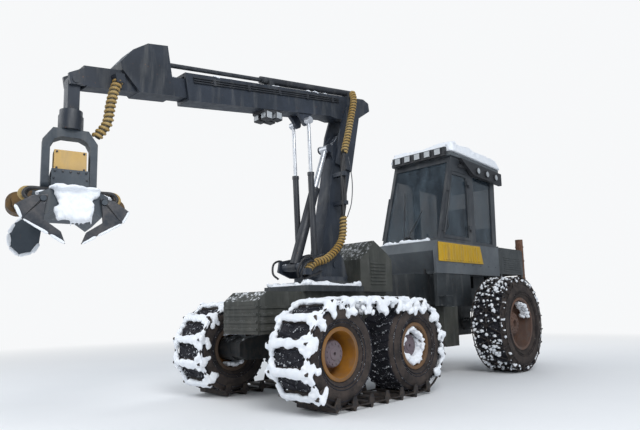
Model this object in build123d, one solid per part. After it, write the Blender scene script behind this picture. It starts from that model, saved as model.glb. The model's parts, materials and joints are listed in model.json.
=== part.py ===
from build123d import *
import math
import os

# Six-wheeled forestry harvester. Millimetres, +X forward, +Y left, +Z up, ground at Z = 0.
# X is measured from the middle of the front bogie until the last step, which moves the
# origin to the middle of the bounding box.

# Fits between pieces
FACE_PLAY = 0.3
PIN_PLAY = 0.05
SIDE_PLAY = 0.3
MOVE_GAP = 6.0

# Tyre beads and rims, on every wheel
BEAD_INSET = 60.0
RIM_LIP = 26.0
RIM_LIP_THICK = 14.0
RIM_SKIN = 20.0
DISC_THICK = 22.0
CENTRE_BORE_R = 60.0

# Front bogie and its tracks
BOGIE_BASE = 1500.0
BOGIE_TYRE_R = 585.0
BOGIE_TYRE_W = 590.0
BOGIE_RIM_R = 286.0
BOGIE_Y = 1020.0
TRACK_BAND = 22.0
TRACK_GROUSER = 45.0
TRACK_W = 640.0
TRACK_SHOES = 22
SHOE_LENGTH = 110.0
SHOE_GUARD = 95.0
GUARD_THICK = 14.0
LINK_WIDTH = 24.0
BOGIE_BEAM_Y = (440.0, 640.0)
BOGIE_BEAM_H = 300.0
BOGIE_AXLE_R = 130.0
BOGIE_HUB_R = 165.0

# Rear wheels
REAR_AXLE_X = -3920.0
REAR_TYRE_R = 812.0
REAR_TYRE_W = 600.0
REAR_RIM_R = 432.0
REAR_Y = 1090.0
REAR_LUGS = 16
REAR_LUG_H = 38.0
REAR_CHAIN_D = 21.0
REAR_AXLE_R = 115.0
REAR_HUB_R = 170.0

# Front frame
NOSE_X = 1225.0
NOSE_HALF = 350.0
NOSE_BOTTOM = 880.0
NOSE_FACE_TOP = 1290.0
NOSE_BEVEL = 150.0
NOSE_RIB_Z = (925.0, 1015.0, 1105.0, 1195.0)
NOSE_RIB_H = 34.0
NOSE_RIB = 16.0
NOSE_RIB_FROM = 480.0
FRAME_TOP = 1410.0
DECK_X = (-690.0, 450.0)
DECK_HALF = 450.0
DECK_THICK = 80.0

# Articulation joint
PIVOT_X = -1650.0
PIVOT_PIN_R = 50.0
FORK_HALF = 180.0
FORK_PLATE = 40.0
FORK_Z = (960.0, 1340.0)
NOSE_TUBE_R = 105.0

# Rear frame, cab base and hood
CHASSIS_X = (-5850.0, -2200.0)
CHASSIS_HALF = 310.0
CHASSIS_Z = (1050.0, 1500.0)
CAB_HALF = 620.0
WALL = 40.0
BASE_BOTTOM = 1730.0
BASE_TOP = 2290.0
BASE_REAR_X = -4700.0
HOOD_END_X = -5850.0
HOOD_HALF = 600.0
HOOD_Z = (1780.0, 2250.0)
HOOD_WALL = 20.0
LID_THICK = 60.0
LID_SKIN = 18.0
HOOD_RIBS = 7

# Crane
SLEW_X = -250.0
SLEW_R = 400.0
SLEW_RING_H = 70.0
TURNTABLE_H = 60.0
POST_EAR_Y = (215.0, 250.0)
LIFT_PIN = (-300.0, 1800.0)
STICK_PIN = (-870.0, 4300.0)
LIFT_BOOM_HALF = 120.0
STICK_HALF = 130.0
STICK_DEPTH = 340.0
STICK_SLOPE = 9.6
STICK_PIN_DROP = 50.0
STICK_TAIL = 510.0
STICK_REACH = 3000.0
TELE_DEPTH = 250.0
TELE_HALF = 90.0
TELE_TIP = 4200.0
TELE_STROKE = 1300.0
KNUCKLE_FOOT = 440.0
LIFT_BASE_PIN = (280.0, 1760.0)
LIFT_EYE = (-410.0, 3600.0)
STICK_CYL_BASE = (30.0, 1880.0)
STICK_EYE_ALONG = 1018.0
STICK_EYE_DROP = 114.0
STICK_CYL_Y = 160.0
HOSE_CLAMP_Z = (2700.0, 3140.0)

# Harvester head, hung from the telescope tip
HEAD_YAW = 75.0
LINK_DROP = 380.0
ROTATOR_H = 150.0


def block(x0, x1, y0, y1, z0, z1):
    size = (abs(x1 - x0), abs(y1 - y0), abs(z1 - z0))
    middle = ((x0 + x1) / 2, (y0 + y1) / 2, (z0 + z1) / 2)
    return Pos(*middle) * Box(*size)


def side_plate(points, y0, y1):
    """A plate whose outline is given in X and Z, between two Y planes."""
    outline = Wire.make_polygon([Vector(x, y0, z) for x, z in points], close=True)
    return extrude(Face(outline), amount=y1 - y0, dir=(0, 1, 0))


def cross_plate(points, x0, x1):
    """A plate whose outline is given in Y and Z, between two X planes."""
    outline = Wire.make_polygon([Vector(x0, y, z) for y, z in points], close=True)
    return extrude(Face(outline), amount=x1 - x0, dir=(1, 0, 0))


def flat_plate(points, z0, z1):
    """A plate whose outline is given in X and Y, between two Z planes."""
    outline = Wire.make_polygon([Vector(x, y, z0) for x, y in points], close=True)
    return extrude(Face(outline), amount=z1 - z0, dir=(0, 0, 1))


def rod(start, end, radius):
    """A round bar between two points."""
    start = Vector(*start)
    along = Vector(*end) - start
    return Solid.make_cylinder(radius, along.length, Plane(origin=start, z_dir=along))


def cross_pin(x, z, y0, y1, radius):
    return rod((x, y0, z), (x, y1, z), radius)


def both_sides(shape):
    return [shape, mirror(shape, about=Plane.XZ)]


def fuse(pieces):
    first = pieces[0]
    return first.fuse(*pieces[1:]) if len(pieces) > 1 else first


def turn(profile, at, axis_dir=(0, 1, 0)):
    """Revolves an outline given as (along, radius) points about an axis through at."""
    plane = Plane(origin=at, x_dir=axis_dir, z_dir=Vector(1, 0, 0).cross(Vector(*axis_dir)))
    if abs(axis_dir[0]) > 0.9:
        plane = Plane(origin=at, x_dir=axis_dir, z_dir=(0, -1, 0))
    face = plane * make_face(profile)
    return revolve(face, axis=Axis(at, axis_dir))


def outline(points):
    return Polyline(*points, close=True)


nodes = {}


# Wheels

def bead_half(width):
    return width / 2 - BEAD_INSET


def tyre_profile(width, outer, inner, shoulder):
    """Carcass outline: beads, bulged sidewalls, round shoulders and a level tread."""
    half = width / 2
    bead = bead_half(width)
    foot = inner + RIM_LIP + 14
    middle = (foot + outer) / 2
    tread = half - shoulder
    return [
        Line((-bead, inner), (-bead, foot)), ThreePointArc((-bead, foot), (-half, middle), (-tread, outer)),
        Line((-tread, outer), (tread, outer)), ThreePointArc((tread, outer), (half, middle), (bead, foot)),
        Line((bead, foot), (bead, inner)), Line((bead, inner), (-bead, inner)),
    ]


def rim_profile(width, radius, disc_at):
    """Deep-dish rim: two flanges, a thin barrel and a disc, seen on one side of the axis."""
    seat = bead_half(width) + FACE_PLAY
    half = seat + RIM_LIP_THICK
    lip_top = radius + RIM_LIP
    inside = radius - RIM_SKIN
    well = inside - 10
    points = [
        (-half, lip_top), (-seat, lip_top), (-seat, radius - FACE_PLAY), (seat, radius - FACE_PLAY), (seat, lip_top), (half, lip_top),
        (half, inside), (disc_at + DISC_THICK, well), (disc_at + DISC_THICK, CENTRE_BORE_R), (disc_at, CENTRE_BORE_R),
        (disc_at, well), (-half, inside),
    ]
    return outline(points)


def wheel_rim(x, side, y, width, radius, height, disc_at):
    rim = turn(rim_profile(width, radius, disc_at), (x, y, height))
    return rim if side > 0 else mirror(rim, about=Plane.XZ)


BOGIE_AXLE_Z = BOGIE_TYRE_R + FACE_PLAY + TRACK_BAND + TRACK_GROUSER
bogie_wheels = [(sx * BOGIE_BASE / 2, side) for side in (1, -1) for sx in (1, -1)]


def tread_lugs(width, radius, height, count, foot, tip):
    """Tread bars that lean from the middle to the shoulders, half a step apart on the two sides."""
    reach = width / 2 - 25
    lugs = []
    for step in range(count):
        for flipped in (False, True):
            bar = flat_plate([(-foot, 8), (foot, 8), (tip + foot, reach), (tip - foot, reach)], radius - height - 14, radius)
            bar = bar & rod((0, -width, 0), (0, width, 0), radius)
            if flipped:
                bar = mirror(bar, about=Plane.XZ)
            lugs.append(Rot(0, (step + (0.5 if flipped else 0.0)) * 360.0 / count, 0) * bar)
    return lugs


def bogie_tyre(x, side):
    profile = tyre_profile(BOGIE_TYRE_W, BOGIE_TYRE_R, BOGIE_RIM_R, 70.0)
    return turn(profile, (x, side * BOGIE_Y, BOGIE_AXLE_Z))


nodes["bogie_tyres"] = [bogie_tyre(x, side) for x, side in bogie_wheels]
BOGIE_DISC_AT = -60.0
nodes["bogie_rims"] = [
    wheel_rim(x, side, BOGIE_Y, BOGIE_TYRE_W, BOGIE_RIM_R, BOGIE_AXLE_Z, BOGIE_DISC_AT)
    for x, side in bogie_wheels
]


def loop_face(radius, y):
    """The outline of a belt round both bogie wheels, as a face in the XZ plane."""
    half = BOGIE_BASE / 2
    z = BOGIE_AXLE_Z
    top = Line((-half, y, z + radius), (half, y, z + radius))
    front = ThreePointArc((half, y, z + radius), (half + radius, y, z), (half, y, z - radius))
    low = Line((half, y, z - radius), (-half, y, z - radius))
    back = ThreePointArc((-half, y, z - radius), (-half - radius, y, z), (-half, y, z + radius))
    return Face(Wire([top, front, low, back]))


def belt(inner, outer, y0, y1):
    full = extrude(loop_face(outer, y0), amount=y1 - y0, dir=(0, 1, 0))
    return full - extrude(loop_face(inner, y0), amount=y1 - y0, dir=(0, 1, 0))


def loop_place(distance, radius):
    """X, Z and outward angle of a point on the belt line, by its length from the top rear."""
    half = BOGIE_BASE / 2
    arc = math.pi * radius
    if distance < BOGIE_BASE:
        return -half + distance, BOGIE_AXLE_Z + radius, 90.0
    distance -= BOGIE_BASE
    if distance < arc:
        angle = 90.0 - math.degrees(distance / radius)
        turned = math.radians(angle)
        return half + radius * math.cos(turned), BOGIE_AXLE_Z + radius * math.sin(turned), angle
    distance -= arc
    if distance < BOGIE_BASE:
        return half - distance, BOGIE_AXLE_Z - radius, -90.0
    distance -= BOGIE_BASE
    angle = -90.0 - math.degrees(distance / radius)
    turned = math.radians(angle)
    return -half + radius * math.cos(turned), BOGIE_AXLE_Z + radius * math.sin(turned), angle


def track_shoe(distance, side):
    """One cross member: a sole with its grouser bar and a guard bent over each sidewall."""
    x, z, angle = loop_place(distance, BOGIE_TYRE_R + FACE_PLAY)
    half = TRACK_W / 2
    end = SHOE_LENGTH / 2
    foot = SHOE_LENGTH / 4
    tip = SHOE_LENGTH / 9
    top = TRACK_BAND + TRACK_GROUSER
    sole = side_plate([(-end, 0), (end, 0), (end, TRACK_BAND), (foot, TRACK_BAND), (tip, top), (-tip, top),
                       (-foot, TRACK_BAND), (-end, TRACK_BAND)], -half, half)
    guard = side_plate([(-end, 0), (end, 0), (foot, -SHOE_GUARD), (-foot, -SHOE_GUARD)], half - GUARD_THICK, half)
    place = Location((x, side * BOGIE_Y, z), (0, 90.0 - angle, 0))
    return place * fuse([sole, *both_sides(guard)])


def bogie_track(side):
    """One closed loop of cross members, joined by a band along each edge."""
    radius = BOGIE_TYRE_R + FACE_PLAY
    length = 2 * BOGIE_BASE + 2 * math.pi * radius
    edge = TRACK_W / 2
    pieces = []
    for y0, y1 in ((-edge, LINK_WIDTH - edge), (edge - LINK_WIDTH, edge)):
        pieces.append(belt(radius + 4, radius + TRACK_BAND - 4, side * BOGIE_Y + y0, side * BOGIE_Y + y1))
    for count in range(TRACK_SHOES):
        pieces.append(track_shoe((count + 0.5) * length / TRACK_SHOES, side))
    return fuse(pieces)


nodes["bogie_tracks"] = [bogie_track(side) for side in (1, -1)]


def bogie_beam(side):
    """The gear case that carries one side's two wheels, with its two hubs."""
    y0, y1 = BOGIE_BEAM_Y
    half = BOGIE_BASE / 2
    z = BOGIE_AXLE_Z
    low, high = z - BOGIE_BEAM_H / 2, z + BOGIE_BEAM_H / 2
    case = side_plate(
        [(-half - 150, low + 60), (-half, low), (half, low), (half + 150, low + 60),
         (half + 150, high - 60), (half, high), (220, high + 60), (-220, high + 60),
         (-half, high), (-half - 150, high - 60)], side * y0, side * y1)
    disc_face = BOGIE_Y + BOGIE_DISC_AT
    hubs = [rod((x, side * y1, z), (x, side * (disc_face - FACE_PLAY), z), BOGIE_HUB_R) for x in (-half, half)]
    dome_face = disc_face + DISC_THICK + FACE_PLAY
    caps = [rod((x, side * (disc_face - 20), z), (x, side * (dome_face + 10), z), CENTRE_BORE_R - FACE_PLAY) for x in (-half, half)]
    domes = [rod((x, side * dome_face, z), (x, side * (BOGIE_Y + 120), z), 150.0) for x in (-half, half)]
    return fuse([case, *hubs, *caps, *domes])


nodes["bogie_beams"] = [bogie_beam(side) for side in (1, -1)]

AXLE_CASE = 230.0
bogie_case = block(-AXLE_CASE, AXLE_CASE, -AXLE_CASE, AXLE_CASE, BOGIE_AXLE_Z - 170, NOSE_BOTTOM)
bogie_tube = rod((0, -BOGIE_BEAM_Y[0], BOGIE_AXLE_Z), (0, BOGIE_BEAM_Y[0], BOGIE_AXLE_Z), BOGIE_AXLE_R)
nodes["bogie_axle"] = fuse([bogie_case, bogie_tube])

# Rear wheels and axle

REAR_AXLE_Z = REAR_TYRE_R + REAR_CHAIN_D


def rear_tyre(side):
    carcass = turn(tyre_profile(REAR_TYRE_W, REAR_TYRE_R - REAR_LUG_H, REAR_RIM_R, 60.0), (0, 0, 0))
    lugs = tread_lugs(REAR_TYRE_W, REAR_TYRE_R, REAR_LUG_H, REAR_LUGS, 30.0, 90.0)
    return Pos(REAR_AXLE_X, side * REAR_Y, REAR_AXLE_Z) * fuse([carcass, *lugs])


CHAIN_BAR = 22.0
CHAIN_SIDES = 20


def chain_point(step, radius):
    """X and Z of a point round the tyre where two links meet."""
    turned = math.radians(360.0 * step / CHAIN_SIDES)
    return radius * math.cos(turned), radius * math.sin(turned)


def chain_hoop(y0, y1):
    inner = rod((0, y0 - 1, 0), (0, y1 + 1, 0), REAR_TYRE_R + FACE_PLAY)
    return rod((0, y0, 0), (0, y1, 0), REAR_TYRE_R + REAR_CHAIN_D) - inner


def chain_link(step, y0, y1, radius):
    """A link leaning across the tread, from one corner of the net to the next."""
    x0, z0 = chain_point(step, radius)
    x1, z1 = chain_point(step + 1, radius)
    spread = math.hypot(x1 - x0, z1 - z0)
    length = math.hypot(spread, y1 - y0)
    lean = math.degrees(math.atan2(spread, y1 - y0))
    bar = block(-CHAIN_BAR / 3, CHAIN_BAR / 3, -length / 2, length / 2, 0, REAR_CHAIN_D / 2 - 1)
    facing = 90 - 360.0 * (step + 0.5) / CHAIN_SIDES
    return Location(((x0 + x1) / 2, (y0 + y1) / 2, (z0 + z1) / 2), (0, facing, 0)) * Rot(0, 0, lean) * bar


def rear_chain(side):
    """A hoop by each shoulder and links that lean across the tread between them, left and right in turn."""
    inner = (REAR_TYRE_R + FACE_PLAY) / math.cos(math.pi / CHAIN_SIDES)
    reach = REAR_TYRE_W / 2 - 40
    pieces = [chain_hoop(y - CHAIN_BAR / 2, y + CHAIN_BAR / 2) for y in (-reach, reach)]
    for step in range(CHAIN_SIDES):
        start = reach if step % 2 == 0 else -reach
        pieces.append(chain_link(step, start, -start, inner))
    return Pos(REAR_AXLE_X, side * REAR_Y, REAR_AXLE_Z) * fuse(pieces)


REAR_DISC_AT = -20.0
for side, name in ((1, "l"), (-1, "r")):
    nodes["rear_tyre_" + name] = rear_tyre(side)
    nodes["rear_rim_" + name] = wheel_rim(
        REAR_AXLE_X, side, REAR_Y, REAR_TYRE_W, REAR_RIM_R, REAR_AXLE_Z, REAR_DISC_AT)
    nodes["rear_chain_" + name] = rear_chain(side)

rear_case = block(REAR_AXLE_X - 240, REAR_AXLE_X + 240, -230, 230, REAR_AXLE_Z - 210, CHASSIS_Z[0])
disc_face = REAR_Y + REAR_DISC_AT
rear_parts = [rear_case]
for side in (1, -1):
    rear_parts.append(rod((REAR_AXLE_X, 0, REAR_AXLE_Z), (REAR_AXLE_X, side * 700, REAR_AXLE_Z), REAR_AXLE_R))
    rear_parts.append(rod((REAR_AXLE_X, side * 700, REAR_AXLE_Z),
                          (REAR_AXLE_X, side * (disc_face - FACE_PLAY), REAR_AXLE_Z), REAR_HUB_R))
    rear_parts.append(rod((REAR_AXLE_X, side * (disc_face - FACE_PLAY), REAR_AXLE_Z),
                          (REAR_AXLE_X, side * (disc_face + 60), REAR_AXLE_Z), CENTRE_BORE_R - PIN_PLAY))
nodes["rear_axle"] = fuse(rear_parts)

# Front frame

frame_side = [
    (NOSE_X, NOSE_BOTTOM), (NOSE_X, NOSE_FACE_TOP), (NOSE_X - NOSE_BEVEL, FRAME_TOP),
    (-1350, FRAME_TOP), (-1350, FORK_Z[0] - FORK_PLATE), (-1150, NOSE_BOTTOM),
]
fork_x = -1350.0
CORNER_CUT = 60.0
front_beam = side_plate(frame_side, -NOSE_HALF, NOSE_HALF)
for corner in both_sides(flat_plate([(fork_x - 1, NOSE_HALF + 1), (fork_x - 1, NOSE_HALF - CORNER_CUT), (fork_x + CORNER_CUT, NOSE_HALF + 1)],
                                    FORK_Z[0], FORK_Z[1])):
    front_beam = front_beam - corner


def fork_plate(z0):
    tongue = flat_plate([(fork_x, -NOSE_HALF), (fork_x, NOSE_HALF), (PIVOT_X, FORK_HALF), (PIVOT_X, -FORK_HALF)],
                        z0, z0 + FORK_PLATE)
    return fuse([tongue, rod((PIVOT_X, 0, z0), (PIVOT_X, 0, z0 + FORK_PLATE), FORK_HALF)])


fork = [fork_plate(FORK_Z[0] - FORK_PLATE), fork_plate(FORK_Z[1])]
pivot_pin = rod((PIVOT_X, 0, FORK_Z[0] - FORK_PLATE - 25), (PIVOT_X, 0, FORK_Z[1] + FORK_PLATE + 25), PIVOT_PIN_R)
STEER_REAR = (-2230.0, 270.0)
STEER_FRONT = (-1180.0, 470.0)
STEER_Z = 1150.0
STEER_EAR = 30.0
STEER_EYE = 102.0


def steer_ears(x, y, side, x_root, y_root):
    """Two flat ears that hold a steering cylinder's eye between them."""
    half = STEER_EYE / 2 + SIDE_PLAY
    ears = []
    for z0, z1 in ((STEER_Z - half - STEER_EAR, STEER_Z - half), (STEER_Z + half, STEER_Z + half + STEER_EAR)):
        plate = flat_plate([(x_root - 90, side * y_root), (x_root + 90, side * y_root),
                            (x + 45, side * y), (x - 45, side * y)], z0, z1)
        ears.append(fuse([plate, rod((x, side * y, z0), (x, side * y, z1), 45.0)]))
    return ears


front_ears = []
for side in (1, -1):
    front_ears.extend(steer_ears(STEER_FRONT[0], STEER_FRONT[1], side, STEER_FRONT[0] + 30, NOSE_HALF - 5))
nose_ribs = []
for z in NOSE_RIB_Z:
    nose_ribs.append(block(NOSE_X - 2, NOSE_X + NOSE_RIB, 15 - NOSE_HALF, NOSE_HALF - 15, z, z + NOSE_RIB_H))
    nose_ribs.extend(both_sides(block(NOSE_RIB_FROM, NOSE_X - 30, NOSE_HALF - 2, NOSE_HALF + NOSE_RIB, z, z + NOSE_RIB_H)))
nodes["front_frame"] = fuse([front_beam, *fork, pivot_pin, *front_ears, *nose_ribs])

deck = block(DECK_X[0], DECK_X[1], -DECK_HALF, DECK_HALF, FRAME_TOP, FRAME_TOP + DECK_THICK)
DECK_TOP = FRAME_TOP + DECK_THICK
ring = rod((SLEW_X, 0, DECK_TOP), (SLEW_X, 0, DECK_TOP + SLEW_RING_H), SLEW_R)
nodes["crane_deck"] = fuse([deck, ring])

HOUSING_HALF = 430.0
HOUSING_CUT = 95.0
HOUSING_LOUVRES = 7
housing = side_plate([(-760, FRAME_TOP), (-760, 1900), (-980, 2190), (-1330, 1990), (-1420, 1900), (-1420, FRAME_TOP)],
                     -HOUSING_HALF, HOUSING_HALF)
corner = flat_plate([(-759, HOUSING_HALF + 1), (-759, HOUSING_HALF - HOUSING_CUT), (-760 - HOUSING_CUT, HOUSING_HALF + 1)],
                    FRAME_TOP - 1, 2200)
for cut in both_sides(corner):
    housing = housing - cut
louvres = []
for count in range(HOUSING_LOUVRES):
    z = 1520 + count * 52
    louvre = cross_plate([(HOUSING_HALF - 2, z), (HOUSING_HALF + 16, z), (HOUSING_HALF - 2, z + 30)], -1240, -890)
    louvres.extend(both_sides(louvre))
nodes["joint_housing"] = fuse([housing, *louvres])

# Rear frame

chassis = block(CHASSIS_X[0], CHASSIS_X[1], -CHASSIS_HALF, CHASSIS_HALF, *CHASSIS_Z)
pedestal = block(-2620, CHASSIS_X[1], -CHASSIS_HALF, CHASSIS_HALF, CHASSIS_Z[1], BASE_BOTTOM)
rear_bridge = block(-4640, -4200, -CHASSIS_HALF, CHASSIS_HALF, CHASSIS_Z[1], BASE_BOTTOM)
fork_play = MOVE_GAP / 2
nose_tube = rod((PIVOT_X, 0, FORK_Z[0] + fork_play), (PIVOT_X, 0, FORK_Z[1] - fork_play), NOSE_TUBE_R)
nose_neck = block(CHASSIS_X[1], PIVOT_X, -NOSE_TUBE_R, NOSE_TUBE_R, FORK_Z[0] + fork_play, FORK_Z[1] - fork_play)
bumper = block(HOOD_END_X - 200, HOOD_END_X, -HOOD_HALF, HOOD_HALF, 1000, 1560)
tail_floor = block(HOOD_END_X, BASE_REAR_X, -HOOD_HALF, HOOD_HALF, CHASSIS_Z[1] - 60, CHASSIS_Z[1])
tow_ears = [block(HOOD_END_X - 330, HOOD_END_X - 200, -95, 95, z, z + 35) for z in (1060, 1195)]
TOW_PIN_R = 20.0
tow_bore = rod((HOOD_END_X - 270, 0, 1000), (HOOD_END_X - 270, 0, 1300), TOW_PIN_R)
slots = []
for side in (1, -1):
    x, y = STEER_REAR
    slots.append(block(x - 60, CHASSIS_X[1] + 1, side * (y - 75), side * (y + 75), STEER_Z - STEER_EYE / 2 - SIDE_PLAY,
                       STEER_Z + STEER_EYE / 2 + SIDE_PLAY))
rear_solid = fuse([chassis, pedestal, rear_bridge, nose_tube, nose_neck, bumper, tail_floor, *tow_ears])
rear_solid = rear_solid - tow_bore
rear_solid = rear_solid - rod((PIVOT_X, 0, 900), (PIVOT_X, 0, 1400), PIVOT_PIN_R + PIN_PLAY)
for slot in slots:
    rear_solid = rear_solid - slot
STEER_PIN_R = 18.0
base_pins = [rod((STEER_REAR[0], side * STEER_REAR[1], STEER_Z - STEER_EYE), (STEER_REAR[0], side * STEER_REAR[1], STEER_Z + STEER_EYE),
                 STEER_PIN_R) for side in (1, -1)]
nodes["rear_frame"] = fuse([rear_solid, *base_pins])

# Steering cylinders

STEER_BARREL_R = 48.0
STEER_ROD_R = 26.0


def cylinder_pair(base, eye, barrel_r, rod_r, barrel_length, rod_length, eye_r, eye_half):
    """A hollow barrel with its base eye and a rod with its own eye, along one line."""
    base = Vector(*base)
    eye = Vector(*eye)
    along = (eye - base).normalized()
    wall = barrel_r * 0.72
    near = base + along * (eye_r * 0.6)
    mouth = base + along * barrel_length
    tube = rod(tuple(near), tuple(mouth), barrel_r)
    bore = rod(tuple(base + along * (eye_r + 20)), tuple(mouth + along * 5), wall)
    gland = rod(tuple(mouth - along * 45), tuple(mouth), barrel_r + 6) - rod(
        tuple(mouth - along * 50), tuple(mouth + along * 5), rod_r + PIN_PLAY)
    shaft = rod(tuple(eye - along * rod_length), tuple(eye - along * (eye_r * 0.6)), rod_r)
    piston = rod(tuple(eye - along * rod_length), tuple(eye - along * (rod_length - 40)), wall - PIN_PLAY)
    return tube - bore, gland, fuse([shaft, piston])


def eye_disc(at, side_dir, radius, half):
    at = Vector(*at)
    side_dir = Vector(*side_dir)
    return rod(tuple(at - side_dir * half), tuple(at + side_dir * half), radius)


for side, name in ((1, "l"), (-1, "r")):
    base = (STEER_REAR[0], side * STEER_REAR[1], STEER_Z)
    eye = (STEER_FRONT[0], side * STEER_FRONT[1], STEER_Z)
    tube, gland, shaft = cylinder_pair(base, eye, STEER_BARREL_R, STEER_ROD_R, 660.0, 750.0, 40.0, STEER_EYE / 2)
    nodes["steer_barrel_" + name] = fuse([tube, gland, eye_disc(base, (0, 0, 1), 40.0, STEER_EYE / 2)]) - eye_disc(
        base, (0, 0, 1), STEER_PIN_R + PIN_PLAY, STEER_EYE)
    nodes["steer_rod_" + name] = fuse([shaft, eye_disc(eye, (0, 0, 1), 40.0, STEER_EYE / 2)])

# Tanks, lockers and steps under the cab

tank = side_plate([(-2560, 560), (-2620, 490), (-3020, 490), (-3020, 1160), (-2560, 1160)], CHASSIS_HALF, CAB_HALF)
nodes["side_tanks"] = both_sides(tank)
locker = block(-3560, -2640, CHASSIS_HALF, CAB_HALF - 15, 1160, BASE_BOTTOM)
nodes["side_lockers"] = both_sides(locker)
step_post = block(-2640, -2400, CAB_HALF - 60, CAB_HALF, 1170, BASE_BOTTOM)
step_arm = block(-2640, -2560, CHASSIS_HALF, CAB_HALF - 60, 1200, 1260)
tread_top = block(-2640, -2420, CAB_HALF, CAB_HALF + 150, 1330, 1350)
tread_low = block(-2560, -2420, CAB_HALF, CAB_HALF + 150, 1170, 1190)
nodes["cab_steps"] = both_sides(fuse([step_post, step_arm, tread_top, tread_low]))

# Cab base

base_side = [
    (-2600, 1800), (-2380, 2110), (-2455, BASE_TOP), (BASE_REAR_X, BASE_TOP), (BASE_REAR_X, BASE_BOTTOM),
    (-2620, BASE_BOTTOM),
]
base_outer = side_plate(base_side, -CAB_HALF, CAB_HALF)
skirt = side_plate([(-2405, BASE_BOTTOM), (-2380, 2110), (-2455, BASE_TOP), (-2700, BASE_TOP), (-2700, BASE_BOTTOM)],
                   CAB_HALF - WALL, CAB_HALF)
base_pocket = block(-4600, -2620, -CAB_HALF + WALL, CAB_HALF - WALL, BASE_BOTTOM + 50, BASE_TOP + 10)
LID_PIN_R = 10.0
LID_HINGE = (BASE_REAR_X - 6, HOOD_Z[1] + LID_THICK)
lid_x, lid_z = LID_HINGE
lid_bracket = block(lid_x - 16, BASE_REAR_X + 5, HOOD_HALF + SIDE_PLAY, HOOD_HALF + 16, lid_z - 40, lid_z + 14)
lid_bore = cross_pin(lid_x, lid_z, -CAB_HALF, CAB_HALF, LID_PIN_R + PIN_PLAY)
nodes["cab_base"] = fuse([base_outer, *both_sides(skirt), *both_sides(lid_bracket)]) - base_pocket - lid_bore

PANEL_RIBS = 14
PANEL_RIB_STEP = 95.0
yellow = side_plate([(-2480, 1935), (-4030, 1935), (-3930, 2265), (-2480, 2265)], CAB_HALF, CAB_HALF + 18)
panel_ribs = []
for count in range(PANEL_RIBS):
    x = -3880 + count * PANEL_RIB_STEP
    panel_ribs.append(block(x, x + PANEL_RIB_STEP / 2, CAB_HALF + 16, CAB_HALF + 30, 1965, 2235))
nodes["side_panels"] = both_sides(fuse([yellow, *panel_ribs]))

# Cab body: a hollow shell with its windows cut

CAB_REAR_X = -4640.0
CAB_FRONT_LOW = (-2560.0, BASE_TOP)
CAB_FRONT_TOP = (-3060.0, 3880.0)
CAB_REAR_TOP = (-4700.0, 3840.0)
cab_outer = side_plate([CAB_FRONT_LOW, CAB_FRONT_TOP, CAB_REAR_TOP, (CAB_REAR_X, BASE_TOP)], -CAB_HALF, CAB_HALF)
lean = (CAB_FRONT_LOW[0] - CAB_FRONT_TOP[0]) / (CAB_FRONT_TOP[1] - CAB_FRONT_LOW[1])


def front_x(z, inset=0.0):
    return CAB_FRONT_LOW[0] - (z - CAB_FRONT_LOW[1]) * lean - inset


cab_inner = side_plate([(front_x(2280, WALL + 10), 2280), (front_x(3820, WALL + 10), 3820), (CAB_REAR_TOP[0] + WALL, 3790),
                        (CAB_REAR_X + WALL, 2280)], -CAB_HALF + WALL, CAB_HALF - WALL)
WINDOW_LOW = 2345.0
WINDOW_TOP = 3600.0
POST_X = (-3620.0, -3820.0)
side_windows = [
    [(front_x(WINDOW_LOW, 90), WINDOW_LOW), (front_x(WINDOW_TOP, 90), WINDOW_TOP), (POST_X[0], WINDOW_TOP),
     (POST_X[0], WINDOW_LOW)],
    [(POST_X[1], WINDOW_LOW), (POST_X[1], WINDOW_TOP), (-4520, WINDOW_TOP), (-4480, WINDOW_LOW)],
]
DOOR_GAP = 6.0
DOOR_PIN_R = 14.0
DOOR_HINGE = (POST_X[0] - 10.0, CAB_HALF + 24)
DOOR_HINGE_Z = (2560.0, 3400.0)
HINGE_STRAP = 70.0
cab_shell = cab_outer - cab_inner
door_hole = side_plate(side_windows[0], 0, CAB_HALF + 50)
right_hole = side_plate(side_windows[0], -CAB_HALF - 50, 0)
rear_holes = side_plate(side_windows[1], -CAB_HALF - 50, CAB_HALF + 50)
wind_hole = block(front_x(3780) - 200, -2500, -CAB_HALF + 60, CAB_HALF - 60, WINDOW_LOW, 3760)
back_hole = block(CAB_REAR_TOP[0] - 50, CAB_REAR_X + 60, -CAB_HALF + 90, CAB_HALF - 90, 2700, 3500)
for hole in (door_hole, right_hole, rear_holes, wind_hole, back_hole):
    cab_shell = cab_shell - hole
hinge_x, hinge_y = DOOR_HINGE
door_hinges = []
for z in DOOR_HINGE_Z:
    door_hinges.append(rod((hinge_x, hinge_y, z - 45), (hinge_x, hinge_y, z + HINGE_STRAP + 6), DOOR_PIN_R))
    door_hinges.append(block(hinge_x - 20, hinge_x + 10, CAB_HALF - 5, hinge_y + 15, z - 45, z - SIDE_PLAY))
GRAB_R = 14.0
GRAB_FOOT_R = 10.0
GRAB_AHEAD = 45.0
grab_y = CAB_HALF + 50
grab_rail = [rod((front_x(2420, GRAB_AHEAD), grab_y, 2420), (front_x(3250, GRAB_AHEAD), grab_y, 3250), GRAB_R)]
for z in (2470, 3200):
    grab_rail.append(rod((front_x(z, GRAB_AHEAD), CAB_HALF - 5, z), (front_x(z, GRAB_AHEAD), grab_y, z), GRAB_FOOT_R))
nodes["cab_frame"] = fuse([cab_shell, *door_hinges, *both_sides(fuse(grab_rail))])


def pane_in(points, play):
    """Shrinks a convex outline towards its middle by about the play at each side."""
    middle_x = sum(x for x, z in points) / len(points)
    middle_z = sum(z for x, z in points) / len(points)
    span_x = max(x for x, z in points) - min(x for x, z in points)
    span_z = max(z for x, z in points) - min(z for x, z in points)
    return [(middle_x + (x - middle_x) * (1 - 2 * play / span_x), middle_z + (z - middle_z) * (1 - 2 * play / span_z))
            for x, z in points]


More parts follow.
